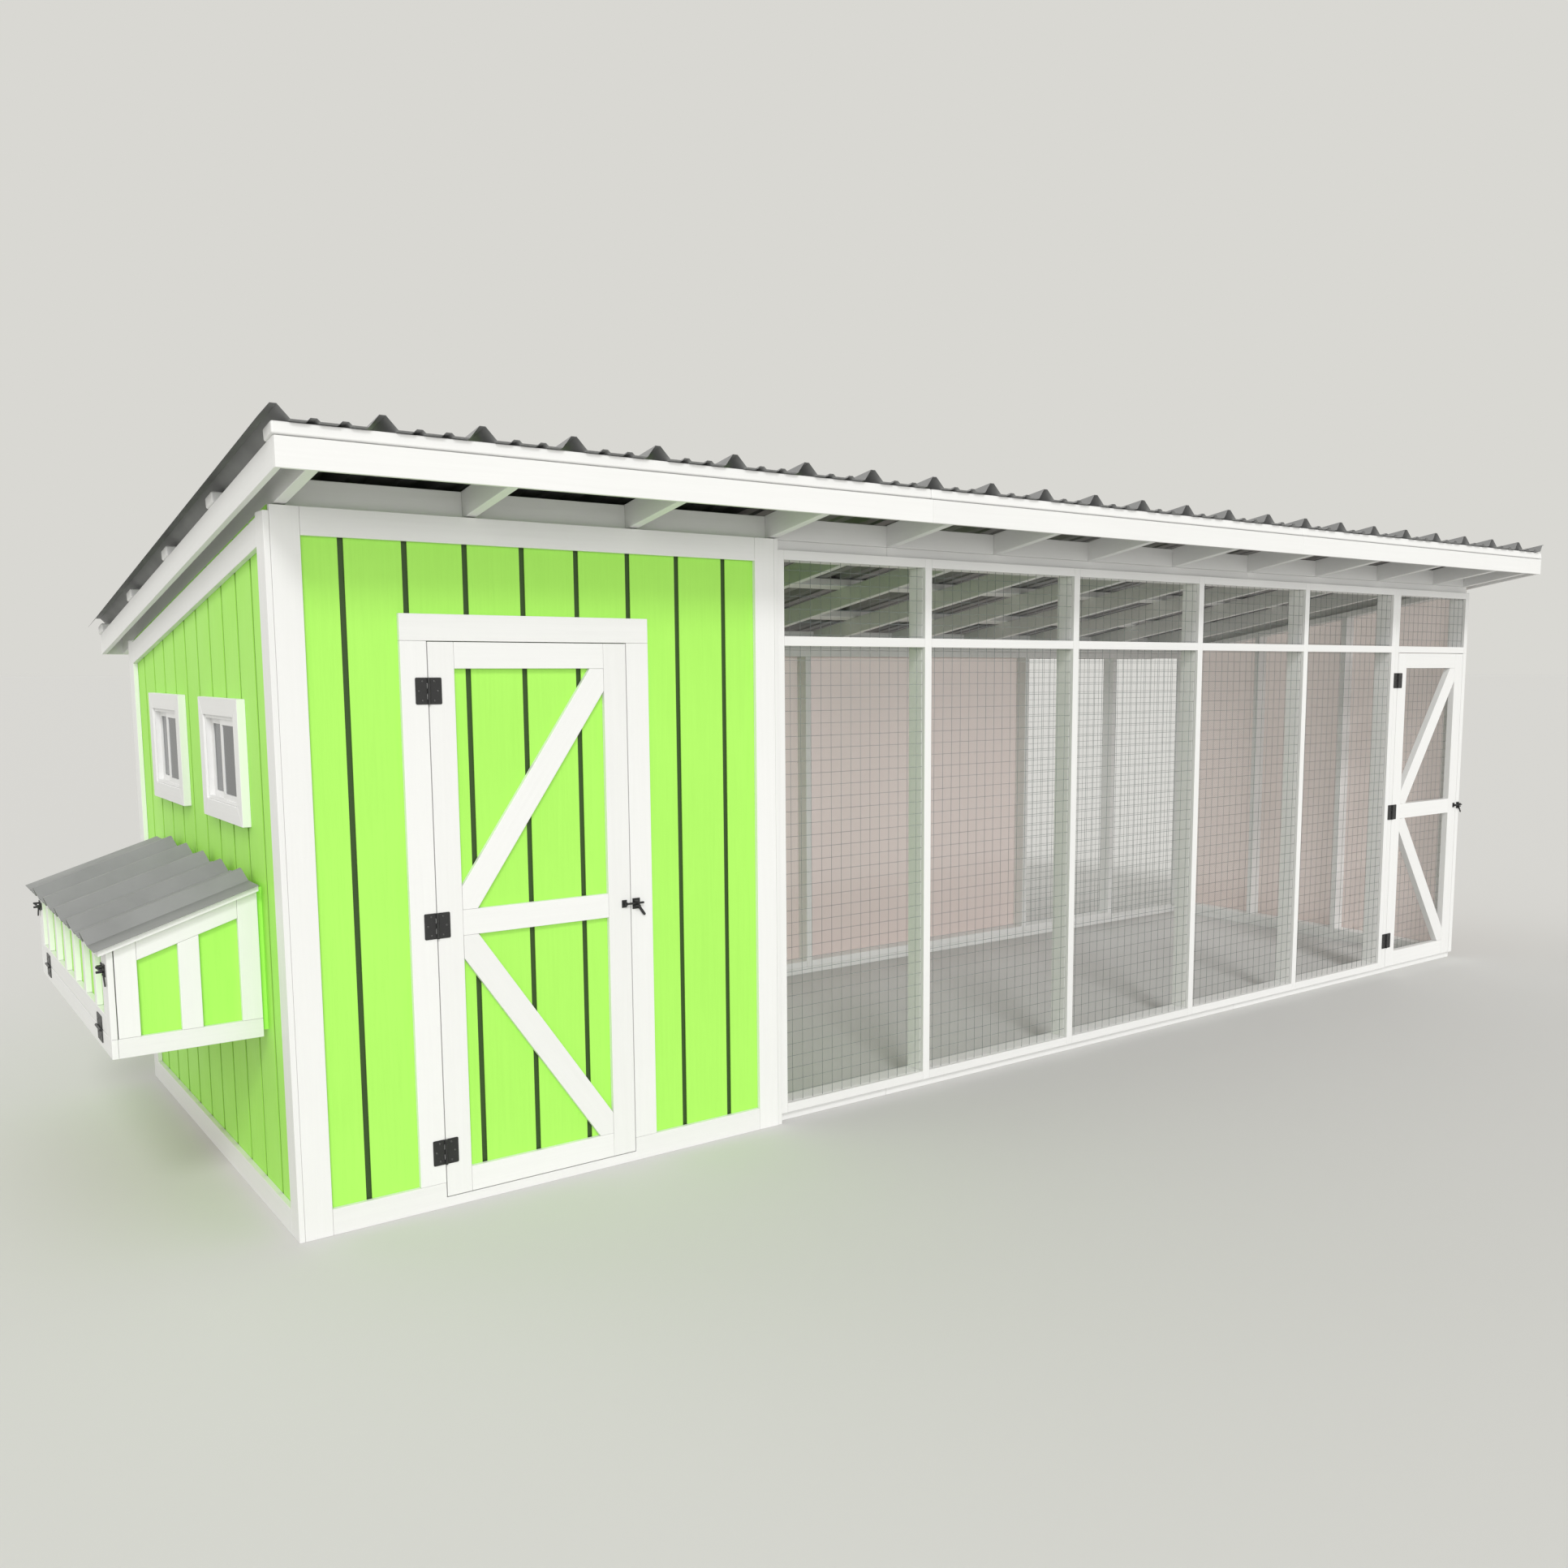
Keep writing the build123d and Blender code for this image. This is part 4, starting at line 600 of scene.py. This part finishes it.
def rods(starts, ends, radius, sides):
    # a rod's surface is start + t (end - start) + r (cos a, sin a) in the two directions across it
    direction = (ends - starts) / np.linalg.norm(ends - starts, axis=1, keepdims=True)
    isUpright = np.abs(direction[:, 2:3]) > wireWork["nearUpright"]
    helper = np.where(isUpright, np.array([[0.0, 1.0, 0.0]]), np.array([[0.0, 0.0, 1.0]]))
    sideways = np.cross(helper, direction)
    sideways /= np.linalg.norm(sideways, axis=1, keepdims=True)
    upwards = np.cross(direction, sideways)
    angles = np.arange(sides) * 2 * np.pi / sides
    ring = radius * (np.cos(angles)[None, :, None] * sideways[:, None, :]
                     + np.sin(angles)[None, :, None] * upwards[:, None, :])
    points = np.concatenate((starts[:, None, :] + ring, ends[:, None, :] + ring), axis=1)
    step = np.arange(sides)
    ahead = (step + 1) % sides
    walls = np.stack((step, ahead, ahead + sides, step + sides), axis=1)
    capStart = np.array([[0, 3, 2, 1], [0, 5, 4, 3]])
    capEnd = np.array([[0, 1, 2, 3], [0, 3, 4, 5]]) + sides
    one = np.concatenate((walls, capStart, capEnd))
    faces = one[None, :, :] + (np.arange(len(starts)) * 2 * sides)[:, None, None]
    return points.reshape(-1, 3), faces.reshape(-1, 4)


def wirePanel(low, high):
    pitch, radius = wireWork["pitch"], wireWork["radius"]
    middleY = (low[1] + high[1]) / 2
    offset = radius - wireWork["sink"]
    across = np.arange(low[0] + pitch / 2, high[0] - radius, pitch)
    levels = np.arange(low[2] + pitch / 2, high[2] - radius, pitch)
    uprightStarts = np.stack((across, np.full(len(across), middleY - offset),
                              np.full(len(across), low[2])), axis=1)
    uprightEnds = uprightStarts + np.array([0.0, 0.0, high[2] - low[2]])
    levelStarts = np.stack((np.full(len(levels), low[0]),
                            np.full(len(levels), middleY + offset), levels), axis=1)
    levelEnds = levelStarts + np.array([high[0] - low[0], 0.0, 0.0])
    return np.concatenate((uprightStarts, levelStarts)), np.concatenate((uprightEnds, levelEnds))


def weldedWire(nodeName):
    panels = [wirePanel(low, high) for low, high in solidBoxes(nodeName)]
    starts = np.concatenate([panel[0] for panel in panels])
    ends = np.concatenate([panel[1] for panel in panels])
    points, faces = rods(starts, ends, wireWork["radius"], wireWork["sides"])
    piece = pieceFromArrays(nodeName + "_wires", points, faces, wireSteel, bodyOf[nodeName],
                            True)
    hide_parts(nodeName)
    print(nodeName, len(starts), "wires")


weldedWire("wire_mesh")
weldedWire("run_door_mesh")


# Roofing screws: a twelve-sided head on a washer, turned up from a profile at each point

screwWork = {"washer": 0.0075, "washerRise": 0.0016, "head": 0.0048, "headRise": 0.0062, "sides": 12,
             "firstRib": 1.7 * inch, "pastRib": 6.0 * inch, "spacing": 12.0 * inch, "roofPitch": 2 / 12,
             "halfPurlin": 0.75 * inch, "sheet": 0.0013}


def screwHeads(name, places, normal, body):
    # a profile of (radius, height) pairs turned round the normal, closed by its last ring
    work = screwWork
    profile = np.array([[work["washer"], 0.0], [work["washer"], work["washerRise"] * 0.5],
                        [work["head"] * 1.15, work["washerRise"]], [work["head"], work["washerRise"] * 1.2],
                        [work["head"], work["headRise"] * 0.85], [work["head"] * 0.8, work["headRise"]]])
    normal = np.array(normal) / np.linalg.norm(normal)
    sideways = np.cross([0.0, 1.0, 0.0], normal)
    sideways /= np.linalg.norm(sideways)
    forwards = np.cross(normal, sideways)
    sides = work["sides"]
    angles = np.arange(sides) * 2 * np.pi / sides
    around = np.cos(angles)[:, None] * sideways + np.sin(angles)[:, None] * forwards
    shell = profile[:, 0][:, None, None] * around[None] + profile[:, 1][:, None, None] * normal
    points = places[:, None, None, :] + shell[None]
    ring, step = np.meshgrid(np.arange(len(profile) - 1), np.arange(sides), indexing="ij")
    ahead = (step + 1) % sides
    quads = np.stack((ring * sides + step, ring * sides + ahead, (ring + 1) * sides + ahead,
                      (ring + 1) * sides + step), axis=-1).reshape(-1, 4)
    top = (len(profile) - 1) * sides
    fan = np.array([[top, top + k, top + k + 1, top + k + 2] for k in range(1, sides - 2, 2)])
    base = np.array([[0, k + 2, k + 1, k] for k in range(1, sides - 2, 2)])
    one = np.concatenate((quads, fan, base))
    faces = one[None] + (np.arange(len(places)) * len(profile) * sides)[:, None, None]
    pieceFromArrays(name, points.reshape(-1, 3), faces.reshape(-1, 4), roofSteel, body, False)


def roofScrews():
    slope = atan(screwWork["roofPitch"])
    normal = np.array([0.0, sin(slope), cos(slope)])
    middles = np.array([(low + high) / 2 for low, high in solidBoxes("purlins")])
    rows = np.unique(middles[:, 1].round(3))
    sheetLow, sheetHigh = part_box("roof_sheets")
    firstRib = sheetLow.x + screwWork["firstRib"]
    across = np.arange(firstRib + screwWork["pastRib"], sheetHigh.x, screwWork["spacing"])
    places = []
    for row in rows:
        height = middles[np.isclose(middles[:, 1], row, atol=0.002)][0, 2]
        onRow = np.stack((across, np.full(len(across), row), np.full(len(across), height)), axis=1)
        places.append(onRow + normal * (screwWork["halfPurlin"] + screwWork["sheet"]))
    places = np.concatenate(places)
    screwHeads("roof_screws", places, normal, "root")
    print("roof screws:", len(places))


roofScrews()


# Floor, light and camera

stageLook = {"floorSize": 600.0, "floorColour": (0.660, 0.657, 0.648), "floorRoughness": 0.9,
             "floorSpecular": 0.1, "sky": (0.694, 0.687, 0.651), "skyStrength": 1.0}
lampLook = {"key": {"energy": 1.05, "angle": 14.0, "turn": (50.0, 0.0, -24.0)},
            "fill": {"energy": 1.05, "angle": 35.0, "turn": (80.0, 0.0, -20.0)},
            "rear": {"energy": 0.45, "angle": 40.0, "turn": (-62.0, 0.0, 28.0)}}


def makeFloor():
    mesh = bpy.data.meshes.new("floor")
    half = stageLook["floorSize"] / 2
    corners = np.array([[-half, -half, 0], [half, -half, 0], [half, half, 0], [-half, half, 0]])
    mesh.from_pydata(corners.tolist(), [], [(0, 1, 2, 3)])
    material, shader = startMaterial("floorPaint", stageLook["floorRoughness"])
    shader.inputs["Base Color"].default_value = (*stageLook["floorColour"], 1.0)
    shader.inputs["Specular IOR Level"].default_value = stageLook["floorSpecular"]
    mesh.materials.append(material)
    floor = bpy.data.objects.new("floor", mesh)
    bpy.context.scene.collection.objects.link(floor)


def makeLight():
    world = bpy.data.worlds.new("studio")
    world.use_nodes = True
    background = world.node_tree.nodes["Background"]
    background.inputs["Color"].default_value = (*stageLook["sky"], 1.0)
    background.inputs["Strength"].default_value = stageLook["skyStrength"]
    bpy.context.scene.world = world
    for name, look in lampLook.items():
        lamp = bpy.data.lights.new(name, "SUN")
        lamp.energy = look["energy"]
        lamp.angle = radians(look["angle"])
        light = bpy.data.objects.new(name, lamp)
        light.rotation_euler = [radians(angle) for angle in look["turn"]]
        bpy.context.scene.collection.objects.link(light)
    bpy.context.scene.view_settings.view_transform = "Standard"


cameraWork = {"place": (-44.82, -176.12, 73.55), "heading": 37.89, "tilt": -6.76, "lens": 31.16,
              "sensor": 36.0, "shiftX": -0.0533, "shiftY": 0.0276, "farthest": 1000.0}


def makeCamera():
    lens = bpy.data.cameras.new("camera")
    lens.sensor_width = cameraWork["sensor"]
    lens.lens = cameraWork["lens"]
    lens.shift_x = cameraWork["shiftX"]
    lens.shift_y = cameraWork["shiftY"]
    lens.clip_end = cameraWork["farthest"]
    camera = bpy.data.objects.new("camera", lens)
    corner = Vector((cornerLow.x, cornerLow.y, 0.0))
    camera.location = corner + Vector(cameraWork["place"]) * inch
    camera.rotation_euler = (radians(90.0 + cameraWork["tilt"]), 0.0, radians(-cameraWork["heading"]))
    bpy.context.scene.collection.objects.link(camera)
    bpy.context.scene.camera = camera


makeFloor()
makeLight()
makeCamera()
print("stage ready")
